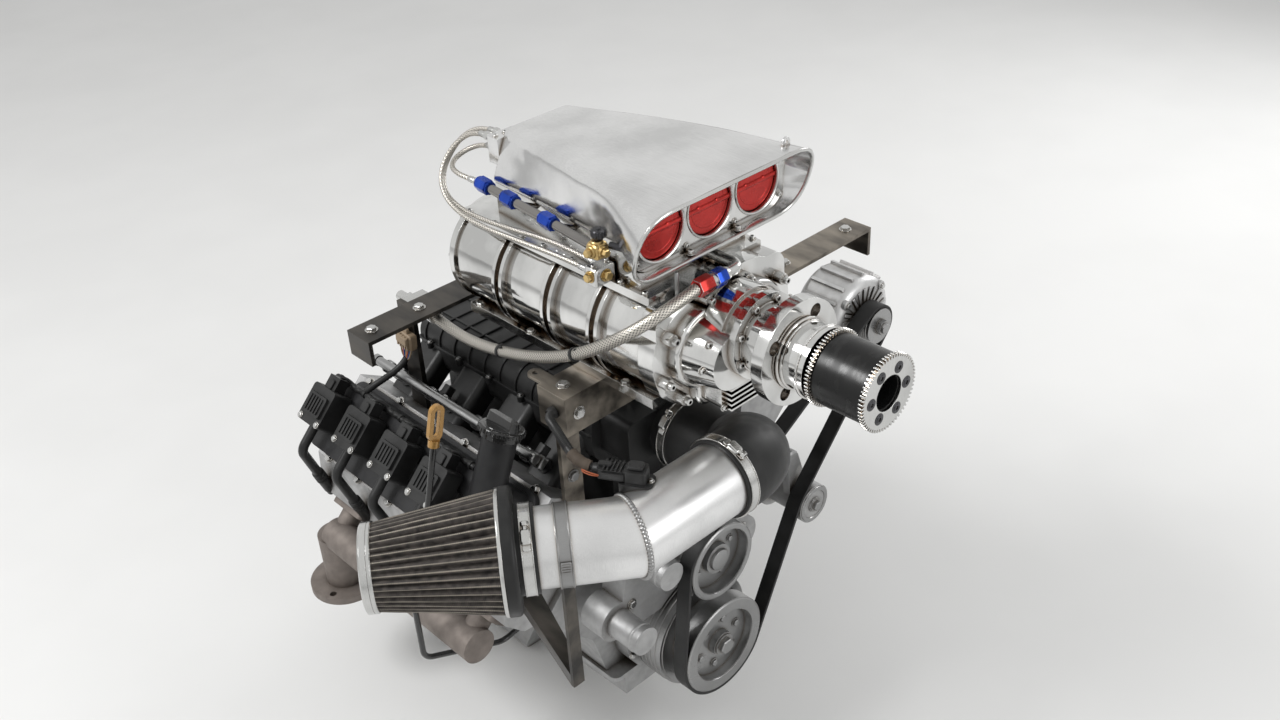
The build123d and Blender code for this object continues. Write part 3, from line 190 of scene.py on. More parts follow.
def spread(tree, source, low, high, start=0.35, end=0.65):
    """Map a pattern's middle range onto values from low to high."""
    node = add_node(tree, "ShaderNodeMapRange", [("Value", source)], From_Min=start, From_Max=end,
                    To_Min=low, To_Max=high)
    return node.outputs["Result"]


def colour_ramp(tree, source, dark, light, start, end):
    """A ramp from a dark to a light colour over a part of a pattern's range."""
    ramp = add_node(tree, "ShaderNodeValToRGB", [("Fac", source)])
    for element, position, colour in zip(ramp.color_ramp.elements, (start, end), (dark, light)):
        element.position = position
        element.color = (*colour, 1)
    return ramp.outputs["Color"]


def blotch(tree, shader, source, dark, light, start=0.35, end=0.65):
    """Vary the base colour between two tints by a pattern."""
    colour = colour_ramp(tree, source, dark, light, start, end)
    tree.links.new(colour, shader.inputs["Base Color"])
    return colour


def relief(tree, shader, layers):
    """Stack bumps: each layer is a pattern with its strength and depth in metres."""
    edges = add_node(tree, "ShaderNodeBevel", samples=4, Radius=0.0009)
    normal = edges.outputs["Normal"]
    for source, strength, depth in layers:
        links = [("Height", source), ("Normal", normal)]
        bump = add_node(tree, "ShaderNodeBump", links, Strength=strength, Distance=depth)
        normal = bump.outputs["Normal"]
    tree.links.new(normal, shader.inputs["Normal"])


def tint(colour, factor):
    """A darker or lighter shade of a colour."""
    return tuple(min(1, c * factor) for c in colour)


def painted_corner_shade(tree, shader, shade_tint, reach):
    """Painted shade: darken the colour in corners and crevices by ambient occlusion, towards a brown tint."""
    corners = add_node(tree, "ShaderNodeAmbientOcclusion", samples=4, Distance=reach)
    painted_shade = colour_ramp(tree, corners.outputs["AO"], shade_tint, (1, 1, 1), 0.30, 0.85)
    unshaded_colour = shader.inputs["Base Color"].links[0].from_socket
    mix = add_node(tree, "ShaderNodeMix", data_type="RGBA", blend_type="MULTIPLY")
    mix.inputs["Factor"].default_value = 1
    tree.links.new(unshaded_colour, mix.inputs["A"])
    tree.links.new(painted_shade, mix.inputs["B"])
    tree.links.new(mix.outputs["Result"], shader.inputs["Base Color"])


def polished_metal(name, colour):
    """Hand-polished casting: soft waves in the surface, faint haze and wipe marks."""
    tree, shader = plain_finish(name, colour, 1, 0.1)
    haze = grain(tree, 16, (1, 1, 0.6), detail=5)
    wipes = grain(tree, 30, (1, 0.15, 1))
    blotch(tree, shader, haze, tint(colour, 0.70), tint(colour, 0.94), 0.36, 0.62)
    # Painted shade: brown-tinted darkening in the corners and crevices
    painted_corner_shade(tree, shader, (0.30, 0.22, 0.15), 0.012)
    tree.links.new(spread(tree, wipes, 0.05, 0.17), shader.inputs["Roughness"])
    relief(tree, shader, [(grain(tree, 26, detail=1), 0.28, 0.0016), (grain(tree, 620), 0.05, 0.0002)])


def brushed_metal(name, colour, along, rough=(0.2, 0.36), waves=0.3):
    """Brushed sheet: fine lines drawn along one way, clouded by handling, waved by hand forming."""
    tree, shader = plain_finish(name, colour, 1, 0.3)
    lines = grain(tree, 1500, along, detail=2)
    cloud = grain(tree, 9, detail=6)
    mix = add_node(tree, "ShaderNodeMath", [(0, cloud), (1, spread(tree, lines, -0.06, 0.06))], operation="ADD")
    blotch(tree, shader, mix.outputs["Value"], tint(colour, 0.82), tint(colour, 1.06), 0.34, 0.64)
    # Painted shade: brown-tinted darkening in the corners and crevices
    painted_corner_shade(tree, shader, (0.34, 0.27, 0.20), 0.006)
    tree.links.new(spread(tree, cloud, rough[1], rough[0]), shader.inputs["Roughness"])
    relief(tree, shader, [(grain(tree, 13, detail=2), waves, 0.003), (lines, 0.14, 0.00015)])


def cast_metal(name, colour, metallic=0.85, rough=0.48, pitted=0.5):
    """Sand-cast surface: fine pits, with painted shade in the hollows and pale rubbed spots."""
    tree, shader = plain_finish(name, colour, metallic, rough)
    patches = grain(tree, 55, detail=8)
    blotch(tree, shader, patches, tint(colour, 0.87), tint(colour, 1.05), 0.34, 0.68)
    # Painted shade: dark, brown-tinted colour in the hollows and corners
    painted_corner_shade(tree, shader, (0.22, 0.18, 0.14), 0.018)
    tree.links.new(spread(tree, patches, rough + 0.1, rough - 0.06), shader.inputs["Roughness"])
    relief(tree, shader, [(grain(tree, 900, detail=4), pitted, 0.0005), (grain(tree, 140), 0.2, 0.0005)])


def coated(name, colour, rough, metallic=0.0, texture=0.3, fine=1300, coat=0.0):
    """Paint, plastic or rubber: a fine moulded grain with a little dust and wear."""
    tree, shader = plain_finish(name, colour, metallic, rough)
    dust = grain(tree, 38, detail=7)
    blotch(tree, shader, dust, tint(colour, 0.85), tuple(c * 1.12 + 0.004 for c in colour), 0.38, 0.7)
    tree.links.new(spread(tree, dust, rough - 0.06, rough + 0.12), shader.inputs["Roughness"])
    relief(tree, shader, [(grain(tree, fine, detail=2), texture, 0.0003)])
    shader.inputs["Coat Weight"].default_value = coat
    shader.inputs["Specular IOR Level"].default_value = 0.32


def scuffed_black(name, colour):
    """Black anodised metal that the belt has rubbed: faint scuffs round it, shinier where worn."""
    tree, shader = plain_finish(name, colour, 0.7, 0.3)
    scuffs = grain(tree, 45, (0.7, 1.6, 0.7), detail=8)
    blotch(tree, shader, scuffs, tint(colour, 0.75), tint(colour, 1.9), 0.5, 0.8)
    tree.links.new(spread(tree, scuffs, 0.34, 0.22), shader.inputs["Roughness"])
    relief(tree, shader, [(grain(tree, 900, (0.4, 2, 0.4)), 0.08, 0.0002)])


def rolled_steel(name, colour, worn=(0.15, 0.135, 0.118)):
    """Bare hot-rolled steel: dark scale, paler worn patches and faint draw lines."""
    tree, shader = plain_finish(name, colour, 0.9, 0.42)
    scale = grain(tree, 34, (1, 0.25, 1), detail=7)
    blotch(tree, shader, scale, tint(colour, 0.4), worn, 0.36, 0.78)
    tree.links.new(spread(tree, scale, 0.3, 0.5), shader.inputs["Roughness"])
    relief(tree, shader, [(grain(tree, 1100, (1, 0.08, 1)), 0.12, 0.0002), (scale, 0.1, 0.0006)])


def braided(name, colour, pitch):
    """Wire braid on a hose: two crossing sets of strands, read from the hose's own UV."""
    tree, shader = plain_finish(name, colour, 0.95, 0.3)
    place = add_node(tree, "ShaderNodeTexCoord")
    heights = []
    for lean in (1, -1):
        mapping = add_node(tree, "ShaderNodeMapping", [("Vector", place.outputs["UV"])],
                           Rotation=(0, 0, lean * math.radians(38)))
        strands = add_node(tree, "ShaderNodeTexWave", [("Vector", mapping.outputs["Vector"])], Scale=pitch)
        heights.append(strands.outputs["Fac"])
    weave = add_node(tree, "ShaderNodeMath", [(0, heights[0]), (1, heights[1])], operation="MAXIMUM")
    blotch(tree, shader, weave.outputs["Value"], tint(colour, 0.28), tint(colour, 1.15), 0.45, 0.95)
    relief(tree, shader, [(weave.outputs["Value"], 0.7, 0.0006)])


def gauze(name, colour):
    """Oiled cotton pleats under a wire mesh, with a painted highlight on the wires along the outer folds."""
    tree, shader = plain_finish(name, colour, 0, 0.7)
    place = add_node(tree, "ShaderNodeTexCoord")
    wool = grain(tree, 130, detail=6)
    cloth = blotch(tree, shader, wool, tint(colour, 0.2), tint(colour, 0.7))
    folds = add_node(tree, "ShaderNodeTexWave", [("Vector", place.outputs["UV"])],
                     Scale=WAVE_LENGTH / (FOLD_STEPS * FOLD_STEP_UV))
    crest = spread(tree, folds.outputs["Fac"], 1, 0, 0.005, 0.09)
    turned = add_node(tree, "ShaderNodeMapping", [("Vector", place.outputs["UV"])], Rotation=(0, 0, math.pi / 2))
    strands = add_node(tree, "ShaderNodeTexWave", [("Vector", turned.outputs["Vector"])], Scale=150)
    wires = spread(tree, strands.outputs["Fac"], 0.15, 1, 0.55, 0.9)
    # Painted highlight: the wires turn a pale colour only along the crests of the outer folds, where they also turn
    # metallic and smoother
    shine = add_node(tree, "ShaderNodeMath", [(0, crest), (1, wires)], operation="MULTIPLY")
    mix = add_node(tree, "ShaderNodeMix", [("Factor", shine.outputs["Value"])], data_type="RGBA")
    tree.links.new(cloth, mix.inputs["A"])
    mix.inputs["B"].default_value = (0.50, 0.45, 0.37, 1)
    tree.links.new(mix.outputs["Result"], shader.inputs["Base Color"])
    tree.links.new(spread(tree, shine.outputs["Value"], 0, 0.8, 0, 1), shader.inputs["Metallic"])
    tree.links.new(spread(tree, shine.outputs["Value"], 0.75, 0.35, 0, 1), shader.inputs["Roughness"])
    relief(tree, shader, [(wires, 0.4, 0.0004), (wool, 0.3, 0.0006)])


class ENGINE_OT_finishes(bpy.types.Operator):
    """Make every finish and give each CAD node the finish of its slot"""

    bl_idname = "engine.finishes"
    bl_label = "Finishes"

    def execute(self, context):
        colour = SLOT_COLOURS
        polished_metal("polished_aluminium", colour["polished_aluminium"])
        brushed_metal("brushed_aluminium", colour["brushed_aluminium"], (1, 0.02, 1), (0.13, 0.25), 0.95)
        cast_metal("cast_aluminium", colour["cast_aluminium"])
        cast_metal("cast_iron", colour["cast_iron"], 0.6, 0.62, 0.9)
        coated("black_cover", tint(colour["black_cover"], 0.55), 0.42, texture=0.5, fine=800)
        rolled_steel("dark_steel", colour["dark_steel"])
        brushed_metal("bright_steel", colour["bright_steel"], (1, 1, 0.05), (0.14, 0.26))
        brushed_metal("machined_steel", colour["machined_steel"], (1, 0.05, 1), (0.26, 0.42))
        scuffed_black("black_drum", colour["black_drum"])
        coated("black_plastic", tint(colour["black_plastic"], 0.55), 0.38, texture=0.35)
        coated("black_rubber", tint(colour["black_rubber"], 0.6), 0.46, texture=0.2, fine=500)
        gauze("filter_gauze", colour["filter_gauze"])
        coated("red_metal", colour["red_metal"], 0.28, metallic=0.75, texture=0.05, coat=0.12)
        coated("blue_metal", colour["blue_metal"], 0.22, metallic=0.75, texture=0.05)
        coated("dark_rail", colour["dark_rail"], 0.25, metallic=0.8, texture=0.05)
        brushed_metal("brass", colour["brass"], (1, 0.1, 1), (0.22, 0.36))
        braided("braided_steel", colour["braided_steel"], 95)
        coated("yellow_plastic", colour["yellow_plastic"], 0.3, texture=0.05, coat=0.2)
        coated("white_paint", colour["white_paint"], 0.3, texture=0.1)
        brushed_metal("satin_aluminium", colour["brushed_aluminium"], (1, 1, 0.04), (0.3, 0.44), 0.22)
        rolled_steel("bare_steel", (0.30, 0.265, 0.225), (0.42, 0.375, 0.315))
        brushed_metal("rail_steel", (0.26, 0.25, 0.24), (1, 0.03, 1), (0.10, 0.18), 0.1)
        coated("glossy_black", tint(colour["black_plastic"], 0.55), 0.16, texture=0.1, coat=0.5)
        coated("gold_ring", (0.42, 0.235, 0.07), 0.24, metallic=0.45, texture=0.05, coat=0.3)
        # Painted light: a lighter copy of the cast aluminium, worn by the lit alternator
        cast_metal("lit_casting_copy", tint(colour["cast_aluminium"], 1.45), 0.85, 0.38, 0.35)
        coated("cloth_tape", (0.085, 0.066, 0.05), 0.7, texture=0.8, fine=1800)
        coated("orange_wire", (0.46, 0.12, 0.05), 0.4, texture=0.1)
        coated("blue_wire", (0.03, 0.07, 0.22), 0.4, texture=0.1)
        coated("tan_plastic", (0.32, 0.24, 0.16), 0.45, texture=0.3)
        for node, part in frame["nodes"].items():
            part.data.materials.clear()
            part.data.materials.append(FINISHES[CLOSER_FINISHES.get(node, NODE_SLOTS[node])])
            part.data.shade_smooth()
            part.data.set_sharp_from_angle(angle=CAD_SHARP_ANGLE)
        return {"FINISHED"}


# Shapes


def finished_piece(name, shape, finish, body=ENGINE, sharp=35, slot=None):
    """Turn a bmesh into an object that rides on a body and wears a finish."""
    bmesh.ops.recalc_face_normals(shape, faces=shape.faces)
    mesh = bpy.data.meshes.new(name)
    shape.to_mesh(mesh)
    shape.free()
    mesh.materials.append(FINISHES[finish])
    mesh.shade_smooth()
    mesh.set_sharp_from_angle(angle=math.radians(sharp))
    piece = bpy.data.objects.new(name, mesh)
    bpy.context.scene.collection.objects.link(piece)
    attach(piece, body)
    slot or finish
    return piece


def around(count, radius, start=0.0):
    """Points evenly round a circle, the first one moved on by a share of a step."""
    angles = [math.tau * (n + start) / count for n in range(count)]
    return [(radius * math.cos(a), radius * math.sin(a)) for a in angles]


def turn(shape, place, axis, profile, sides=40):
    """Add a turned form: its profile is (distance along the axis, radius), end to end."""
    facing = Vector(axis).to_track_quat("Z", "Y").to_matrix()
    rings = []
    for along, radius in profile:
        outline = around(sides, radius) if radius else [(0, 0)]
        rings.append([shape.verts.new(Vector(place) + facing @ Vector((x, y, along))) for x, y in outline])
    join_rings(shape, rings)
    return rings


def bead(shape, place, axis, foot, crest, sides):
    """Add a raised ring: its half width and radius at the foot, and at the crest."""
    turn(shape, place, axis, [(-foot[0], foot[1]), (-crest[0], crest[1]), crest, foot], sides)


def hex_prism(shape, place, axis, profile):
    """Add a six-sided form with its far end closed."""
    rings = turn(shape, place, axis, profile, 6)
    shape.faces.new(rings[-1])
    return rings


def join_rings(shape, rings, closed=True):
    """Skin neighbouring rings of points with faces, fanning out to a ring of a single point."""
    for near, far in zip(rings, rings[1:]):
        count = max(len(near), len(far))
        for n in range(count if closed else count - 1):
            m = (n + 1) % count
            corners = [near[n % len(near)], near[m % len(near)], far[m % len(far)], far[n % len(far)]]
            unique = list(dict.fromkeys(corners))
            if len(unique) > 2:
                shape.faces.new(unique)


def plate(shape, outline, place, x_dir, z_dir, depth, bevel=0.0):
    """Add a flat plate: an outline in its own x and y, raised by a depth, its far edge bevelled."""
    z_axis = Vector(z_dir).normalized()
    x_axis = Vector(x_dir).normalized()
    y_axis = z_axis.cross(x_axis)
    centre = sum((Vector(p) for p in outline), Vector((0, 0))) / len(outline)
    rings = []
    for height, inset in ((0, 0), (depth - bevel, 0), (depth, bevel)):
        ring = []
        for point in outline:
            local = Vector(point)
            local += (centre - local).normalized() * inset
            ring.append(shape.verts.new(Vector(place) + x_axis * local.x + y_axis * local.y + z_axis * height))
        rings.append(ring)
    join_rings(shape, rings)
    shape.faces.new(rings[-1])
    shape.faces.new(list(reversed(rings[0])))


def rounded(width, height, radius, steps=5):
    """Outline of a rounded rectangle about its centre."""
    points = []
    for corner, (sx, sy) in enumerate(((1, 1), (-1, 1), (-1, -1), (1, -1))):
        for n in range(steps + 1):
            angle = (corner + n / steps) * math.pi / 2
            points.append((sx * (width / 2 - radius) + radius * math.cos(angle),
                           sy * (height / 2 - radius) + radius * math.sin(angle)))
    return points


def cap_screw(shape, place, axis, radius, height=None):
    """Add a socket cap screw: washer, round head and a hexagon socket."""
    height = height or radius * 1.1
    turn(shape, place, axis, [(0, radius * 1.45), (radius * 0.2, radius * 1.45), (radius * 0.2, radius),
                              (height - radius * 0.2, radius), (height, radius * 0.82),
                              (height, radius * 0.5)], 20)
    hex_prism(shape, place, axis, [(height, radius * 0.5), (height * 0.45, radius * 0.5)])


def hex_bolt(shape, place, axis, radius, height=None):
    """Add a hexagon bolt head on its washer."""
    height = height or radius * 0.75
    foot = radius * 0.18
    turn(shape, place, axis, [(0, radius * 1.3), (foot, radius * 1.3), (foot, radius * 0.7)], 20)
    hex_prism(shape, place, axis, [(foot, radius), (height * 0.85, radius), (height, radius * 0.86)])


def front_bolts(shape, forward, radius, places):
    """Add hexagon bolts to a face that looks forward."""
    for x, z in places:
        hex_bolt(shape, (x, -forward, z), FRONT, radius)


def bent(start, bend, end, steps):
    """Points of a curve from its start to its end, drawn towards a bend."""
    shares = [n / steps for n in range(steps + 1)]
    return [start.lerp(bend, t).lerp(bend.lerp(end, t), t) for t in shares]


def square_to(way, lean):
    """The direction nearest to a lean that is square to a way."""
    return (lean - way * lean.dot(way)).normalized()


def frames_along(points):
    """Position, side and up of each point of a path, with no twist between neighbours."""
    points = [Vector(p) for p in points]
    frames = []
    side = None
    for n, point in enumerate(points):
        ahead = (points[min(n + 1, len(points) - 1)] - points[max(n - 1, 0)]).normalized()
        if side is None:
            side = ahead.orthogonal().normalized()
        side = square_to(ahead, side)
        frames.append((point, side, ahead.cross(side)))
    return frames


def skin(shape, uv_layer, rings, girth, lengths):
    """Skin rings with faces whose UV runs round and along them in metres."""
    sides = len(rings[0])
    for row in range(len(rings) - 1):
        for n in range(sides):
            m = (n + 1) % sides
            face = shape.faces.new([rings[row][n], rings[row][m], rings[row + 1][m], rings[row + 1][n]])
            for loop, u, v in zip(face.loops, (n, n + 1, n + 1, n), (row, row, row + 1, row + 1)):
                loop[uv_layer].uv = (u / sides * girth, lengths[v])


def close_ends(shape, rings):
    """Close the first and last rings."""
    shape.faces.new(list(reversed(rings[0])))
    shape.faces.new(rings[-1])


def tube(shape, points, radius, sides=12, ends=True):
    """Add a tube along a path, its UV in metres. The radius may be a number or one for each point."""
    uv_layer = shape.loops.layers.uv.verify()
    radii = radius if isinstance(radius, list) else [radius] * len(points)
    rings = []
    lengths = [0.0]
    for (place, side, up), size in zip(frames_along(points), radii):
        rings.append([shape.verts.new(place + side * x + up * y) for x, y in around(sides, size)])
    for near, far in zip(points, points[1:]):
        lengths.append(lengths[-1] + (Vector(far) - Vector(near)).length)
    skin(shape, uv_layer, rings, math.tau * max(radii), lengths)
    if ends:
        close_ends(shape, rings)


def smooth_path(points, step=0.002):
    """Points of the NURBS spline through a route's control points, as Blender draws it."""
    curve = bpy.data.curves.new("route", "CURVE")
    curve.dimensions = "3D"
    spline = curve.splines.new("NURBS")
    spline.points.add(len(points) - 1)
    for point, place in zip(spline.points, points):
        point.co = (*place, 1)
    spline.order_u = 3
    spline.use_endpoint_u = True
    spline.resolution_u = 24
    holder = bpy.data.objects.new("route", curve)
    mesh = bpy.data.meshes.new_from_object(holder)
    path = [v.co.copy() for v in mesh.vertices]
    bpy.data.objects.remove(holder)
    bpy.data.curves.remove(curve)
    bpy.data.meshes.remove(mesh)
    kept = [path[0]]
    for place in path[1:-1]:
        if (place - kept[-1]).length >= step:
            kept.append(place)
    kept.append(path[-1])
    return kept


def path_length(points):
    """Length of a path of points."""
    return sum((b - a).length for a, b in zip(points, points[1:]))


class ENGINE_OT_hoses(bpy.types.Operator):
    """Lay the braided fuel hoses and the thick feed hose along their routes"""

    bl_idname = "engine.hoses"
    bl_label = "Braided hoses"

    def execute(self, context):
        sizes = context.scene.engine_hoses
        hoses = [("fuel_hose_%d" % n, "fuel_line_%d" % n, route, sizes.fuel_radius, "medium" if n < 3 else "limp")
                 for n, route in enumerate(FUEL_ROUTES, 1)]
        hoses.append(("braided_feed_hose", "feed_hose", FEED_ROUTE, sizes.feed_radius, "medium"))
        for name, node, route, radius, stiffness in hoses:
            path = smooth_path(route)
            shape = bmesh.new()
            tube(shape, path, radius, sizes.braid_sides)
            hose = finished_piece(name, shape, "braided_steel")
            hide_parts(node)
            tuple(route[0])
            round(path_length(path), 4)
            [tuple(p) for p in path]
        return {"FINISHED"}


# Scoop sections from the rear wall to the throat: forward, half widths low and high, heights, corner
SCOOP_SECTIONS = [
    (0.310, 0.090, 0.056, 0.690, 0.762, 0.012),
    (0.376, 0.094, 0.073, 0.690, 0.767, 0.016),
    (0.442, 0.098, 0.090, 0.690, 0.772, 0.018),
    (0.508, 0.102, 0.107, 0.690, 0.776, 0.021),
    (0.574, 0.106, 0.124, 0.690, 0.779, 0.025),
]
# The leaning oval mouth: its middle, lean, half sizes and corner radius; the sheet's thickness
LIP_CENTRE = Vector((0, -0.660, 0.728))
LIP_LEAN = math.radians(17.7)
LIP_HALF = (0.154, 0.0525)
LIP_CORNER = 0.050
SHEET = 0.003
# The crown of the top sheet: its height, where it starts and its half width
CROWN = 0.0022
CROWN_FOOT = 0.755
CROWN_HALF = 0.11
DISC_XS = (-0.085, 0, 0.085)
DISC_Z = 0.729
DISC_FACE_Y = -0.6275


def rounded_outline(corners, radius, arc=8, side=10):
    """Points round a four-cornered outline with rounded corners, the same count for any outline."""
    points = []
    for n, corner in enumerate(corners):
        corner = Vector(corner)
        following = Vector(corners[(n + 1) % 4])
        before = (Vector(corners[n - 1]) - corner).normalized()
        after = (following - corner).normalized()
        reach = radius / math.tan(before.angle(after) / 2)
        end = corner + after * reach
        points += bent(corner + before * reach, corner, end, arc)
        next_after = (Vector(corners[(n + 2) % 4]) - following).normalized()
        far = following - after * (radius / math.tan((-after).angle(next_after) / 2))
        points += [end.lerp(far, step / side) for step in range(1, side)]
    return points


def lip_ring(inset, radius):
    """The mouth's oval outline on its leaning plane, inset from the outer edge."""
    wide, tall = LIP_HALF[0] - inset, LIP_HALF[1] - inset
    oval = rounded_outline([(-wide, -tall), (wide, -tall), (wide, tall), (-wide, tall)], radius)
    return [LIP_CENTRE + Vector((p.x, -p.y * math.sin(LIP_LEAN), p.y * math.cos(LIP_LEAN))) for p in oval]


def scoop_rings(inset, wall_ahead):
    """Smooth rings of the scoop's outside, or of its inside when inset by the wall.

    Each point follows a Catmull-Rom curve through the sections and the mouth.
    """
    keys = []
    for forward, low, high, bottom, top, radius in SCOOP_SECTIONS:
        if not keys:
            forward += wall_ahead
        corners = [(-low + inset, bottom + inset), (low - inset, bottom + inset),
                   (high - inset, top - inset), (-high + inset, top - inset)]
        outline = rounded_outline(corners, radius - inset * 0.6)
        keys.append([Vector((p.x, -forward, p.y)) for p in outline])
    keys.append(lip_ring(inset, LIP_CORNER - inset))
    rings = []
    for n in range(len(keys) - 1):
        before, here = keys[max(n - 1, 0)], keys[n]
        after, later = keys[n + 1], keys[min(n + 2, len(keys) - 1)]
        steps = 9 if n == len(keys) - 2 else 5
        for step in range(steps):
            t = step / steps
            rings.append([
                0.5 * (2 * b + (c - a) * t + (2 * a - 5 * b + 4 * c - d) * t * t
                       + (3 * b - a - 3 * c + d) * t ** 3)
                for a, b, c, d in zip(before, here, after, later)])
    rings.append(keys[-1])
    return rings


class ENGINE_OT_scoop(bpy.types.Operator):
    """Form the hand-made scoop: crowned sheet, rolled lip, rear wall, ear and rivets"""

    bl_idname = "engine.scoop"
    bl_label = "Air scoop"

    def execute(self, context):
        shape = bmesh.new()
        outer = [[shape.verts.new(self.crowned(p)) for p in ring] for ring in scoop_rings(0, 0)]
        inner = [[shape.verts.new(p) for p in ring] for ring in scoop_rings(SHEET, 0.004)]
        join_rings(shape, outer)
        join_rings(shape, inner)
        join_rings(shape, [outer[-1], inner[-1]])
        shape.faces.new(outer[0])
        shape.faces.new(inner[0])
        shell = finished_piece("scoop_shell", shape, "brushed_aluminium", sharp=50)
        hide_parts("scoop")
        self.roll_lip()
        self.add_ear()
        return {"FINISHED"}

    def crowned(self, point):
        """Lift the top sheet into a shallow crown between its folded edges."""
        lift = max(0.0, (point.z - CROWN_FOOT) / 0.02)
        across = max(0.0, 1 - (point.x / CROWN_HALF) ** 2)
        return point + Vector((0, 0, CROWN * min(lift, 1) * across))

    def roll_lip(self):
        """The edge of the mouth, rolled over a wire at the middle of the sheet."""
        shape = bmesh.new()
        path = lip_ring(SHEET / 2, LIP_CORNER - SHEET / 2)
        tube(shape, path + [path[0]], 0.0027, 10, ends=False)
        finished_piece("scoop_lip_roll", shape, "bright_steel")

    def add_ear(self):
        """The drilled ear on the left of the mouth, and the rivets of the rear wall."""
        shape = bmesh.new()
        outer = [(-0.007, -0.016), (0.007, -0.016)]
        outer += [(0.007 * math.cos(a * math.pi / 8), 0.007 * math.sin(a * math.pi / 8)) for a in range(9)]
        turned = [math.tau * n / 11 - 1.9 for n in range(11)]
        hole = [(0.003 * math.cos(a), 0.003 * math.sin(a)) for a in turned]
        levels = ((outer, 0.652), (outer, 0.655), (hole, 0.655), (hole, 0.652), (outer, 0.652))
        join_rings(shape, [[shape.verts.new((0.114 + x, -forward, 0.781 + z)) for x, z in loop]
                           for loop, forward in levels])
        bmesh.ops.remove_doubles(shape, verts=shape.verts, dist=0.00001)
        finished_piece("scoop_ear", shape, "brushed_aluminium")
        shape = bmesh.new()
        for x, z in ((-0.078, 0.700), (-0.050, 0.752), (0, 0.754), (0.050, 0.752), (0.078, 0.700)):
            turn(shape, (x, -0.3105, z), BACK, [(0, 0.0045), (0.0012, 0.0042), (0.0022, 0.0025), (0.0026, 0)], 16)
        finished_piece("scoop_rivets", shape, "bright_steel")


class ENGINE_OT_discs(bpy.types.Operator):
    """Ring the three throats, and bolt the red discs to their shaft"""

    bl_idname = "engine.discs"
    bl_label = "Throttle discs"

    def execute(self, context):
        shape = bmesh.new()
        for x in DISC_XS:
            turn(shape, (x, -0.6316, DISC_Z), FRONT,
                 [(0, 0.0410), (0.0016, 0.0407), (0.0022, 0.0398), (0.0014, 0.0380), (0, 0.0376)], 72)
        finished_piece("throat_rings", shape, "bright_steel")
        shape = bmesh.new()
        for x, z in ((-0.043, 0.693), (0.043, 0.693), (-0.043, 0.765), (0.043, 0.765), (-0.126, 0.7), (0.126, 0.7)):
            cap_screw(shape, (x, -0.632, z), FRONT, 0.0030)
        for x in (-0.0425, 0.0425):
            cap_screw(shape, (x, -0.6385, 0.6835), UP, 0.0038, 0.0055)
        finished_piece("bulkhead_screws", shape, "bright_steel")
        shape = bmesh.new()
        for x in DISC_XS:
            for side in (-1, 1):
                turn(shape, (x + side * 0.016, DISC_FACE_Y, DISC_Z), FRONT,
                     [(0, 0.0042), (0.0012, 0.0042), (0.002, 0.003), (0.0022, 0)], 18)
            for radius in (0.0285, 0.0350):
                turn(shape, (x, DISC_FACE_Y, DISC_Z), FRONT,
                     [(0, radius + 0.0006), (0.0004, radius), (0, radius - 0.0006)], 56)
        finished_piece("disc_screws", shape, "red_metal", "throttle")
        return {"FINISHED"}


# Blower case screws by how far forward each is; front plate bosses by distance across and height
CASE_SCREWS = [0.262, 0.318, 0.376, 0.420, 0.478, 0.512, 0.568, 0.612]
PLATE_BOSSES = [(0.036, 0.624), (0.102, 0.596), (0.112, 0.536), (0.084, 0.500)]
# Gear cover screws: across, height and the face that each sits on
GEAR_SCREWS = [(-0.088, 0.560, -0.6955), (-0.075, 0.592, -0.6955), (0.088, 0.560, -0.6955),
               (0.075, 0.592, -0.6955), (-0.052, 0.489, -0.698), (0.030, 0.489, -0.698)]
CASE_RIBS = (0.347, 0.449, 0.540)
ROTOR_X, ROTOR_Z = 0.044, 0.560
DRIVE_Z = 0.580


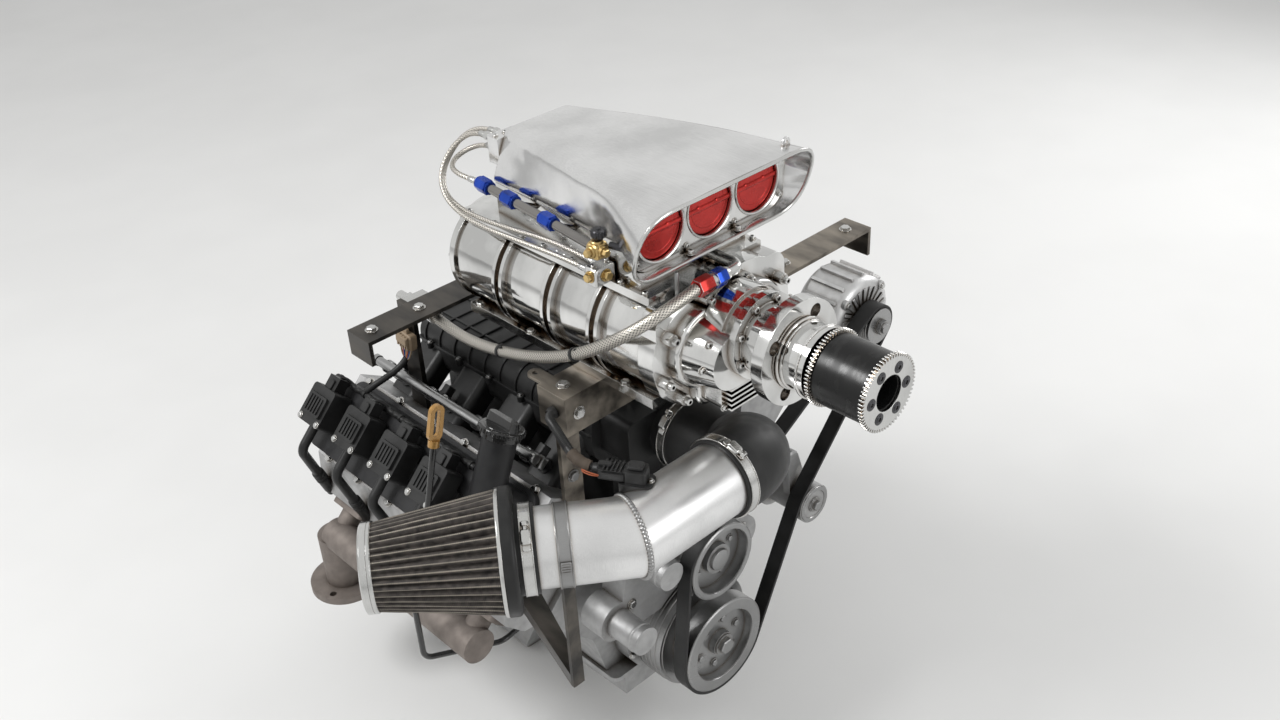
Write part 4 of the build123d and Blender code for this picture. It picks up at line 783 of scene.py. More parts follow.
class ENGINE_OT_blower(bpy.types.Operator):
    """Fit the blower's screws, webs, lugs, snout rings, plate and stud"""

    bl_idname = "engine.blower"
    bl_label = "Blower fittings"

    def execute(self, context):
        self.fit_screws()
        self.fit_webs()
        self.fit_snout()
        return {"FINISHED"}

    def fit_screws(self):
        """Screws of the hat base, case, plates, gear cover and snout."""
        shape = bmesh.new()
        for side in (-1, 1):
            for forward in CASE_SCREWS:
                cap_screw(shape, (side * 0.0975, -forward, 0.640), UP, 0.0038)
            for forward in CASE_SCREWS[::2]:
                hex_bolt(shape, (side * 0.100, -forward, 0.492), UP, 0.006)
            for x, z in PLATE_BOSSES:
                cap_screw(shape, (side * x, -0.663, z), FRONT, 0.0052, 0.008)
            for degrees in (96, 52, 8, -36, -80):
                angle = math.radians(degrees)
                x, z = ROTOR_X + 0.0735 * math.cos(angle), ROTOR_Z + 0.0735 * math.sin(angle)
                cap_screw(shape, (side * x, -0.231, z), BACK, 0.0030)
        for x, z in around(8, 0.0505, 0.5):
            cap_screw(shape, (x, -0.722, DRIVE_Z + z), FRONT, 0.0045)
        for x, z, y in GEAR_SCREWS:
            cap_screw(shape, (x, y, z), FRONT, 0.004)
        finished_piece("blower_screws", shape, "bright_steel")

    def fit_webs(self):
        """Cast webs and bearing caps on the rear plate, and the lugs that end each rib."""
        shape = bmesh.new()
        for x in (-ROTOR_X, ROTOR_X):
            turn(shape, (x, -0.211, ROTOR_Z), BACK,
                 [(-0.012, 0.033), (0, 0.030), (0.004, 0.026), (0.004, 0.018), (0.001, 0.016), (0.001, 0)], 40)
            for u, v in around(6, 1, 0.5):
                plate(shape, [(0.026, -0.003), (0.056, -0.002), (0.056, 0.002), (0.026, 0.003)],
                      (x, -0.2215, ROTOR_Z), (u, 0, v), BACK, 0.006, 0.001)
        for side in (-1, 1):
            for forward in CASE_RIBS:
                for offset in (-0.0075, 0.0075):
                    turn(shape, (side * 0.0895, -forward + offset, 0.632), UP,
                         [(0, 0.0062), (0.007, 0.0062), (0.0085, 0.0048), (0.0085, 0)], 20)
        finished_piece("blower_webs", shape, "polished_aluminium")

    def fit_snout(self):
        """Turned rings along the snout, the bare plate on the hat base, and the stud beside it."""
        shape = bmesh.new()
        for forward, radius in ((0.7225, 0.0475), (0.7585, 0.0475), (0.7800, 0.0475), (0.7855, 0.0458),
                                (0.8100, 0.0485)):
            bead(shape, (0, -forward, DRIVE_Z), FRONT, (0.0025, radius - 0.003), (0.001, radius), 72)
        finished_piece("snout_rings", shape, "polished_aluminium")
        shape = bmesh.new()
        plate(shape, rounded(0.060, 0.022, 0.004), (0.030, -0.6020, 0.6655), (1, 0, 0), FRONT, 0.0015, 0.0006)
        for x in (0.004, 0.056):
            turn(shape, (x, -0.6035, 0.6655), FRONT, [(0, 0.002), (0.0012, 0.0016), (0.0014, 0)], 12)
        finished_piece("hat_plate", shape, "dark_rail")
        shape = bmesh.new()
        turn(shape, (-0.070, -0.6405, 0.633), UP,
             [(0, 0.0055), (0.003, 0.0055), (0.003, 0.0028), (0.035, 0.0028), (0.037, 0.0018), (0.037, 0)], 20)
        finished_piece("hat_stud", shape, "machined_steel")


class ENGINE_OT_drive_pulley(bpy.types.Operator):
    """Build the blower's drum with its two bright toothed rings and bolted hub"""

    bl_idname = "engine.drive_pulley"
    bl_label = "Blower pulley"

    def execute(self, context):
        sizes = context.scene.engine_pulley
        centre = Vector((0, 0, DRIVE_Z))
        shape = bmesh.new()
        turn(shape, centre, FRONT,
             [(0.759, 0.014), (0.825, 0.014), (0.825, 0.040), (0.8262, 0.0445), (0.832, 0.0445), (0.8335, 0.0458),
              (0.9035, 0.0458), (0.905, 0.0445), (0.9058, 0.0440), (0.9058, 0.0225), (0.886, 0.0220),
              (0.886, 0.010), (0.891, 0.009), (0.891, 0)], 96)
        drum = finished_piece("blower_drum", shape, "black_drum", "blower_drive")
        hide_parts("blower_pulley")
        shape = bmesh.new()
        for forward, hole_radius in ((0.8255, 0.0405), (0.9045, 0.0232)):
            self.cut_ring(shape, centre, forward, hole_radius, sizes)
        finished_piece("pulley_rings", shape, "bright_steel", "blower_drive")
        shape = bmesh.new()
        for x, z in around(6, 0.0325):
            place = centre + Vector((x, -0.9040, z))
            cap_screw(shape, place, FRONT, 0.0054, 0.0078)
            turn(shape, place + FRONT * 0.0062, FRONT, [(0, 0.0078), (0.0008, 0.0076), (0.0008, 0.0050)], 24)
        finished_piece("pulley_screws", shape, "dark_rail", "blower_drive")
        return {"FINISHED"}

    def cut_ring(self, shape, centre, forward, hole_radius, sizes, width=0.006, tooth=0.0044):
        """A flat ring with rounded teeth round its edge."""
        tip = sizes.tip_radius
        root = tip - tooth
        outline = []
        for n in range(sizes.teeth):
            for share, radius in ((0, root), (0.3, root + 0.0004), (0.45, tip), (0.8, tip), (0.95, root + 0.0004)):
                angle = math.tau * (n + share) / sizes.teeth
                outline.append((radius * math.cos(angle), radius * math.sin(angle)))
        hole = around(len(outline), hole_radius)
        levels = ((hole, 0), (outline, 0), (outline, width), (hole, width), (hole, 0))
        join_rings(shape, [[shape.verts.new(centre + Vector((x, -forward - along, z))) for x, z in loop]
                           for loop, along in levels])


PIPE_BEND = Vector((-0.225, -0.704, 0.388))
FILTER_TURN = math.radians(143.2)
FILTER_WAY = Vector((math.cos(FILTER_TURN), math.sin(FILTER_TURN), 0))
FILTER_BASE = PIPE_BEND + FILTER_WAY * 0.141
MITRE_LEAN = math.radians(18.4)


class ENGINE_OT_filter(bpy.types.Operator):
    """Fold the cone filter's gauze into pleats between its rubber base and metal tip"""

    bl_idname = "engine.filter"
    bl_label = "Cone filter"

    def execute(self, context):
        sizes = context.scene.engine_filter
        shape = bmesh.new()
        self.fold(shape, sizes)
        cone = finished_piece("filter_pleats", shape, "filter_gauze", sharp=70)
        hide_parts("filter_cone")
        shape = bmesh.new()
        turn(shape, FILTER_BASE + FILTER_WAY * 0.0155, FILTER_WAY,
             [(0, 0.0785), (0.0012, 0.0796), (0.0045, 0.0796), (0.0057, 0.0785), (0.0057, 0.072)], 96)
        turn(shape, FILTER_BASE + FILTER_WAY * 0.1705, FILTER_WAY,
             [(0, 0.0500), (0, 0.0548), (0.0015, 0.0562), (0.0050, 0.0562), (0.0055, 0.0556)], 96)
        turn(shape, FILTER_BASE + FILTER_WAY * 0.1835, FILTER_WAY,
             [(0, 0.0560), (0.0022, 0.0535), (0.0022, 0.0500), (0.0008, 0.0470), (0.0008, 0.0180),
              (0.0020, 0.0160), (0.0020, 0)], 96)
        finished_piece("filter_rings", shape, "bright_steel")
        return {"FINISHED"}

    def fold(self, shape, sizes, rows=18):
        """Pleats with round outer folds, sharp inner ones and a slight handmade unevenness."""
        uv_layer = shape.loops.layers.uv.verify()
        across = FILTER_WAY.cross(UP)
        count = sizes.pleats * FOLD_STEPS
        rings = []
        for row in range(rows + 1):
            share = row / rows
            along = 0.014 + share * 0.162
            radius = sizes.base_radius + (sizes.tip_radius - sizes.base_radius) * share
            depth = (0.0095 - 0.0035 * share) * min(1, 0.35 + 6 * min(share, 1 - share))
            ring = []
            for n in range(count):
                angle = math.tau * n / count
                wander = noise.noise(Vector((math.cos(angle) * 4, math.sin(angle) * 4, along * 14)))
                fold = 1 - abs(math.cos(sizes.pleats * angle / 2 + wander * 0.5))
                size = radius - depth * fold + 0.0012 * wander
                ring.append(shape.verts.new(FILTER_BASE + FILTER_WAY * along + across * (size * math.cos(angle))
                                            + UP * (size * math.sin(angle))))
            rings.append(ring)
        skin(shape, uv_layer, rings, count * FOLD_STEP_UV, [row * 0.009 for row in range(rows + 1)])
        close_ends(shape, rings)


STRAP_PLACE = Vector((-0.2927, -0.6534, 0.388))
# Band clamps: centre, direction of the pipe, direction of the screw's housing, radius over the band
CLAMPS = [
    ((-0.3279, -0.6270, 0.388), FILTER_WAY, (-0.25, -0.55, 0.80), 0.0574),
    (STRAP_PLACE, FILTER_WAY, (0.30, 0.40, -0.85), 0.0524),
    ((-0.0615, -0.7040, 0.388), (1, 0, 0), (0, -0.35, 0.94), 0.0574),
    ((0.0200, -0.5585, 0.345), BACK, (-0.75, 0, 0.66), 0.0574),
]


class ENGINE_OT_pipework(bpy.types.Operator):
    """Weld the pipe's mitre, fit its strap, clamps and air sensor, and bead the coolant necks"""

    bl_idname = "engine.pipework"
    bl_label = "Pipework"

    def execute(self, context):
        self.weld_mitre()
        self.fit_strap()
        self.fit_clamps()
        self.fit_sensor()
        self.bead_necks()
        return {"FINISHED"}

    def weld_mitre(self, steps=252):
        """A bead of overlapping puddles round the slanted joint of the two pipes."""
        way = (Vector((-1, 0, 0)) + FILTER_WAY).normalized()
        across = UP.cross(way) / math.cos(MITRE_LEAN)
        points = []
        sizes = []
        for n in range(steps + 1):
            angle = math.tau * n / steps
            points.append(PIPE_BEND + (UP * math.sin(angle) + across * math.cos(angle)) * 0.0512)
            sizes.append(0.0028 + 0.0013 * abs(math.sin(n * math.pi / 4)))
        shape = bmesh.new()
        tube(shape, points, sizes, 10, ends=False)
        finished_piece("mitre_weld", shape, "machined_steel", sharp=60)

    def fit_strap(self):
        """The pipe's wide strap with its slotted buckle."""
        shape = bmesh.new()
        turn(shape, STRAP_PLACE, FILTER_WAY,
             [(-0.0086, 0.0518), (-0.0086, 0.0536), (-0.0072, 0.0536), (-0.0066, 0.0528), (0.0066, 0.0528),
              (0.0072, 0.0536), (0.0086, 0.0536), (0.0086, 0.0518)], 120)
        out = square_to(FILTER_WAY, Vector((-0.35, -0.62, 0.10)))
        tangent = FILTER_WAY.cross(out)
        plate(shape, rounded(0.017, 0.0135, 0.002), STRAP_PLACE + out * 0.0526, tangent, out, 0.0022, 0.0006)
        for n in range(4):
            slot = STRAP_PLACE + out * 0.0547 + tangent * (n * 0.0035 - 0.0052)
            plate(shape, rounded(0.0014, 0.011, 0.0006), slot, tangent, out, 0.0009, 0.0002)
        finished_piece("strap_band", shape, "machined_steel")

    def fit_clamps(self):
        """A worm screw in its housing on each clamp, and a bead at each edge of its band."""
        shape = bmesh.new()
        for centre, way, out, radius in CLAMPS:
            way = Vector(way).normalized()
            out = square_to(way, Vector(out))
            tangent = way.cross(out)
            top = Vector(centre) + out * (radius - 0.0006)
            plate(shape, rounded(0.019, 0.0125, 0.003), top, tangent, out, 0.0075, 0.0022)
            plate(shape, rounded(0.034, 0.0095, 0.002), top, tangent, out, 0.0018, 0.0006)
            turn(shape, top + out * 0.0048 + tangent * 0.008, tangent,
                 [(0, 0.0030), (0.005, 0.0030), (0.005, 0.0048), (0.0062, 0.0052), (0.0098, 0.0052),
                  (0.0105, 0.0044), (0.0105, 0.0018), (0.0085, 0.0016), (0.0085, 0)], 6)
        for centre, way, out, radius in CLAMPS:
            half = 0.0085 if radius < 0.055 else 0.0065
            for edge in (-half, half):
                bead(shape, Vector(centre) + Vector(way) * edge, way,
                     (0.0009, radius - 0.0012), (0.0006, radius + 0.0006), 96)
        finished_piece("clamp_screws", shape, "bright_steel")

    def fit_sensor(self):
        """The sensor's ribs and screws, and its taped sleeve down to the front bracket."""
        way = Vector((-0.5, 0.87, 0)).normalized()
        side = way.cross(UP)
        seat = Vector((-0.188, -0.678, 0.441))
        shape = bmesh.new()
        for n in range(5):
            plate(shape, rounded(0.0022, 0.0225, 0.001), seat + way * (0.018 + n * 0.0055) + UP * 0.0165,
                  way, UP, 0.0022, 0.0006)
        plate(shape, rounded(0.020, 0.016, 0.003), seat + UP * 0.020, way, UP, 0.0040, 0.0012)
        plate(shape, rounded(0.018, 0.008, 0.002), seat + way * 0.040 + UP * 0.0165, way, UP, 0.0045, 0.0012)
        for edge in (-1, 1):
            plate(shape, rounded(0.030, 0.004, 0.0015), seat + way * 0.028 + side * (0.0108 * edge) + UP * 0.005,
                  way, UP, 0.008, 0.001)
        finished_piece("sensor_ribs", shape, "black_plastic")
        shape = bmesh.new()
        for edge in (-1, 1):
            cap_screw(shape, seat + way * (0.0175 * edge), UP, 0.0032)
        finished_piece("sensor_screws", shape, "bright_steel")
        start = seat + way * 0.049 + UP * 0.0085
        path = smooth_path([start, start + way * 0.022 + UP * 0.003, (-0.222, -0.590, 0.462),
                            (-0.206, -0.548, 0.466), (-0.186, -0.506, 0.455), (-0.1685, -0.500, 0.450)], 0.0012)
        shape = bmesh.new()
        tube(shape, path, [0.0052 + 0.0011 * (n % 2) for n in range(len(path))], 16)
        finished_piece("sensor_conduit", shape, "black_plastic", sharp=60)
        shape = bmesh.new()
        for n in range(2):
            near = start - way * 0.003 - side * (0.0085 + 0.0012 * n) + UP * (0.002 * n - 0.004)
            bow = start + way * (0.009 + 0.003 * n) - side * (0.0140 - 0.002 * n) + UP * (0.0035 * n - 0.002)
            far = start + way * 0.021 - side * 0.0045 + UP * (0.003 * n - 0.003)
            tube(shape, bent(near, bow, far, 10), 0.0009, 8)
        finished_piece("sensor_wires", shape, "orange_wire", slot="yellow_plastic")
        shape = bmesh.new()
        tube(shape, path[8:26], [0.0076 + 0.0005 * (n // 3 % 2) for n in range(18)], 20)
        finished_piece("sensor_tape", shape, "cloth_tape", slot="black_rubber")
        shape = bmesh.new()
        turn(shape, start, way, [(-0.004, 0.0078), (0.006, 0.0078), (0.008, 0.0064)], 24)
        turn(shape, (-0.1690, -0.500, 0.450), (-1, 0, 0),
             [(0, 0.009), (0.004, 0.009), (0.008, 0.0075), (0.010, 0.006)], 24)
        finished_piece("conduit_ends", shape, "black_rubber")

    def bead_necks(self):
        """Rolled beads on the coolant necks."""
        shape = bmesh.new()
        for x, z in ((-0.150, 0.108), (-0.094, 0.192)):
            bead(shape, (x, -0.619, z), FRONT, (0.003, 0.0219), (0.0012, 0.0232), 56)
        finished_piece("neck_beads", shape, "cast_aluminium")


# Sine of the banks' 45 degrees; how far forward the coils, plugs and ports are
BANK = math.sqrt(0.5)
COIL_FORWARDS = (0.070, 0.164, 0.258, 0.352)
PLUG_FORWARDS = (0.033, 0.144, 0.256, 0.368)
PORT_FORWARDS = (0.088, 0.200, 0.312, 0.424)
# Where the harness lies on a cover: along the bores, and across the bank
HARNESS = (0.4010, -0.0735)
# The outer face of the rear cradle's right leg
LEG_FACE = -0.156
# Wires of the hanging plug: piece, finish, and each wire's place across the plug
PLUG_WIRES = [
    ("plug_wires_orange", "orange_wire", (-2, 1)),
    ("plug_wires_blue", "blue_wire", (-1, 2)),
    ("plug_wires_tan", "tan_plastic", (0, 3, -3)),
]


def bank_place(side, along, across, forward):
    """A point on a cylinder bank: along its bores, across towards the exhaust, and forward."""
    return Vector((side * BANK * (along + across), -forward, BANK * (along - across)))


class ENGINE_OT_coils(bpy.types.Operator):
    """Wire the ignition coils, and fit their bolts and rubber boots"""

    bl_idname = "engine.coils"
    bl_label = "Coils and covers"

    def execute(self, context):
        for side, name in SIDES:
            rise = Vector((side * BANK, 0, BANK))
            self.fit_tops(side, name, rise)
            self.fit_wires(side, name)
            self.fit_boots(side, name)
            self.bolt_cover(side, name, rise)
        self.hang_plug()
        return {"FINISHED"}

    def fit_tops(self, side, name, rise):
        """Potted tops with cooling ribs, and the latch on each plug."""
        shape = bmesh.new()
        for forward in COIL_FORWARDS:
            top = bank_place(side, 0.441, -0.024, forward)
            for n in range(5):
                plate(shape, rounded(0.0035, 0.026, 0.0015), top + BACK * (0.014 - n * 0.007),
                      FRONT, rise, 0.0022, 0.0007)
            latch = bank_place(side, 0.4288, -0.062, forward)
            plate(shape, rounded(0.012, 0.016, 0.003), latch, FRONT, rise, 0.0035, 0.001)
        finished_piece("coil_ribs_" + name, shape, "black_plastic")
        shape = bmesh.new()
        for forward in COIL_FORWARDS:
            for edge in (-0.022, 0.022):
                hex_bolt(shape, bank_place(side, 0.436, 0.0015, forward + edge), rise, 0.0042)
        finished_piece("coil_bolts_" + name, shape, "bright_steel")

    def fit_wires(self, side, name, steps=100):
        """A split sleeve clipped along the cover, with a short tail up to each coil."""
        along, across = HARNESS
        shape = bmesh.new()
        line = [bank_place(side, along, across + 0.0006 * math.sin(n * 0.9), 0.040 + n * 0.0035)
                for n in range(steps + 1)]
        tube(shape, line, [0.0046 + 0.0007 * math.sin(n * math.pi / 2) for n in range(steps + 1)], 12)
        for forward in COIL_FORWARDS:
            start = bank_place(side, 0.4190, -0.0760, forward)
            bend = bank_place(side, 0.4150, -0.0815, forward + 0.004)
            end = bank_place(side, 0.4020, -0.0765, forward + 0.012)
            tube(shape, bent(start, bend, end, 8), 0.0026, 10)
        finished_piece("coil_harness_" + name, shape, "black_rubber", sharp=60)
        shape = bmesh.new()
        for forward in (0.050, 0.117, 0.211, 0.305, 0.380):
            tube(shape, [bank_place(side, along, across, forward + edge) for edge in (-0.0025, 0.0025)], 0.0060, 20)
        finished_piece("harness_clips_" + name, shape, "black_plastic")

    def hang_plug(self):
        """The right harness's plug, latched to the rear cradle leg, with its wires in a short fan."""
        seat = Vector((LEG_FACE, -0.146, 0.414))
        out, down = Vector((-1, 0, 0)), Vector((0, 0.12, -1)).normalized()
        across = out.cross(down)
        shape = bmesh.new()
        plate(shape, rounded(0.034, 0.028, 0.004), seat - out * 0.001, across, out, 0.012, 0.002)
        plate(shape, rounded(0.026, 0.014, 0.002), seat + out * 0.011 - down * 0.004, across, out, 0.006, 0.0015)
        for n in range(5):
            plate(shape, rounded(0.0026, 0.024, 0.001), seat + out * 0.010 + across * (0.006 * n - 0.012),
                  across, out, 0.0048, 0.0008)
        plate(shape, rounded(0.012, 0.010, 0.002), seat + out * 0.004 - down * 0.0165, across, out, 0.005, 0.001)
        finished_piece("harness_plug", shape, "tan_plastic", slot="black_plastic")
        gather = seat + down * 0.036 + out * 0.009
        for name, finish, places in PLUG_WIRES:
            shape = bmesh.new()
            for place in places:
                start = seat + out * (0.006 + 0.001 * (place % 2)) + across * (place * 0.0042) + down * 0.0120
                bend = start + down * 0.015 + out * 0.004
                tube(shape, bent(start, bend, gather + across * (place * 0.0008), 10), 0.0013, 8)
            finished_piece(name, shape, finish, slot="black_plastic")
        shape = bmesh.new()
        route = [gather - down * 0.003, gather + down * 0.010 + out * 0.010,
                 bank_place(-1, *HARNESS, 0.128) + Vector((0.012, 0, 0.016)), bank_place(-1, *HARNESS, 0.112)]
        path = smooth_path(route, 0.0015)
        tube(shape, path, [0.0048 + 0.0006 * (n % 2) for n in range(len(path))], 14)
        finished_piece("plug_sleeve", shape, "black_rubber", sharp=60)

    def fit_boots(self, side, name):
        """Ribbed rubber ends where each plug boot meets the head."""
        shape = bmesh.new()
        for coil, plug in zip(COIL_FORWARDS, PLUG_FORWARDS):
            start = bank_place(side, 0.419, 0.050, coil)
            end = bank_place(side, 0.292, 0.103, plug)
            way = (end - start).normalized()
            length = (end - start).length
            turn(shape, start + way * (length * 0.52), way,
                 [(0, 0.0074), (0.001, 0.0095), (0.005, 0.0098), (0.006, 0.0088), (0.009, 0.0088), (0.010, 0.0098),
                  (0.014, 0.0098), (0.015, 0.0088), (0.018, 0.0088), (0.019, 0.0098), (0.023, 0.0098),
                  (0.026, 0.0090), (length * 0.40, 0.0086), (length * 0.41, 0.0070)], 28)
        finished_piece("plug_boots_" + name, shape, "black_rubber")

    def bolt_cover(self, side, name, rise):
        """Six bolts along each edge of the cover."""
        shape = bmesh.new()
        for n in range(6):
            for across in (-0.086, 0.050):
                hex_bolt(shape, bank_place(side, 0.345, across, 0.052 + n * 0.0812), rise, 0.0062, 0.007)
        finished_piece("cover_bolts_" + name, shape, "bright_steel")


class ENGINE_OT_manifold(bpy.types.Operator):
    """Mould the intake manifold's welded seam, its ribs and its screwed bosses"""

    bl_idname = "engine.manifold"
    bl_label = "Intake manifold"

    def execute(self, context):
        shape = bmesh.new()
        plate(shape, rounded(0.180, 0.411, 0.006), (0, -0.2655, 0.3500), (1, 0, 0), UP, 0.0042, 0.0008)
        for n in range(11):
            plate(shape, self.arch(0.0888), (0, -0.078 - n * 0.0375, 0), (1, 0, 0), FRONT, 0.0034, 0.0008)
        for x in (-0.052, 0, 0.052):
            plate(shape, rounded(0.0034, 0.404, 0.0012), (x, -0.2655, 0.3880), (1, 0, 0), UP, 0.0030, 0.0008)
        bosses = [(side * 0.0915, -0.0965 - n * 0.075) for side in (-1, 1) for n in range(5)]
        for x, y in bosses:
            turn(shape, (x, y, 0.3462), UP, [(0, 0.0052), (0.0095, 0.0062), (0.0105, 0.0056), (0.0105, 0)], 24)
        finished_piece("manifold_ribs", shape, "black_plastic")
        shape = bmesh.new()
        for x, y in bosses:
            hex_bolt(shape, (x, y, 0.3564), UP, 0.0036)
        finished_piece("manifold_screws", shape, "machined_steel")
        return {"FINISHED"}

    def arch(self, half, corner_x=0.056, steps=8):
        """Outline of a rib over the plenum: up one side, over its rounded top and down the other."""
        radius = half - corner_x
        points = [(half, 0.3520)]
        for quarter, x in enumerate((corner_x, -corner_x)):
            for n in range(steps + 1):
                angle = (quarter + n / steps) * math.pi / 2
                points.append((x + radius * math.cos(angle), 0.3590 + radius * math.sin(angle)))
        return points + [(-half, 0.3520)]


class ENGINE_OT_injection(bpy.types.Operator):
    """Seat eight injectors in the manifold's runners under two fuel rails, and notch the oil cap"""

    bl_idname = "engine.injection"
    bl_label = "Injectors and oil cap"

    def execute(self, context):
        for side, name in SIDES:
            self.fit_injectors(side, name)
        self.notch_cap()
        return {"FINISHED"}

    def fit_injectors(self, side, name):
        """A capped rail on its stays, and an injector with its plug at each port."""
        lean = Vector((side * 0.62, 0, 0.78)).normalized()
        away = Vector((side * -0.78, 0, 0.62)).normalized()
        rear, front = Vector((side * 0.1717, -0.062, 0.348)), Vector((side * 0.1717, -0.450, 0.348))
        shape = bmesh.new()
        tube(shape, [rear, front], 0.0075, 24)
        for end, way in ((rear, BACK), (front, FRONT)):
            turn(shape, end, way, [(-0.008, 0.0088), (0, 0.0088), (0.002, 0.0075), (0.002, 0)], 24)
        for port in PORT_FORWARDS:
            seat = Vector((side * 0.1357, -port, 0.303))
            turn(shape, seat + lean * 0.044, lean, [(0, 0.0105), (0.010, 0.0105), (0.014, 0.0080)], 24)
            plate(shape, rounded(0.012, 0.020, 0.003), (side * 0.1600, -port - 0.026, 0.3335),
                  FRONT, lean, 0.010, 0.001)
        finished_piece("injector_rail_" + name, shape, "machined_steel")
        shape = bmesh.new()
        for port in PORT_FORWARDS:
            seat = Vector((side * 0.1357, -port, 0.303))
            turn(shape, seat - lean * 0.002, lean,
                 [(0, 0.0120), (0.006, 0.0120), (0.007, 0.0070), (0.014, 0.0070), (0.016, 0.0095), (0.034, 0.0095),
                  (0.036, 0.0070), (0.045, 0.0070)], 24)
            plate(shape, rounded(0.013, 0.016, 0.002), seat + lean * 0.024 + away * 0.007,
                  BACK, away, 0.018, 0.001)
        finished_piece("injectors_" + name, shape, "black_plastic")

    def notch_cap(self):
        """Notches round the oil cap, and the ring on its top."""
        lean = Vector((0.39, 0, 0.92)).normalized()
        face = Vector((-0.246, -0.425, 0.304)) + lean * 0.106
        ahead = lean.cross(BACK)
        shape = bmesh.new()
        for u, v in around(36, 1):
            away = BACK * u + ahead * v
            plate(shape, rounded(0.0034, 0.0026, 0.0008), face + away * 0.0326 + lean * 0.0006,
                  away.cross(lean), lean, 0.0048, 0.0006)
        turn(shape, face, lean, [(0.0074, 0.0265), (0.0088, 0.0258), (0.0088, 0.0245), (0.0076, 0.0238)], 48)
        finished_piece("oil_cap_notches", shape, "glossy_black", slot="black_plastic")


CRANK_PLACE = Vector((0, 0, 0))
PUMP_PLACE = Vector((0, 0, 0.165))
TENSION_PLACE = Vector((0.204, 0, 0.150))
ALTERNATOR_PLACE = Vector((0.346, 0, 0.405))


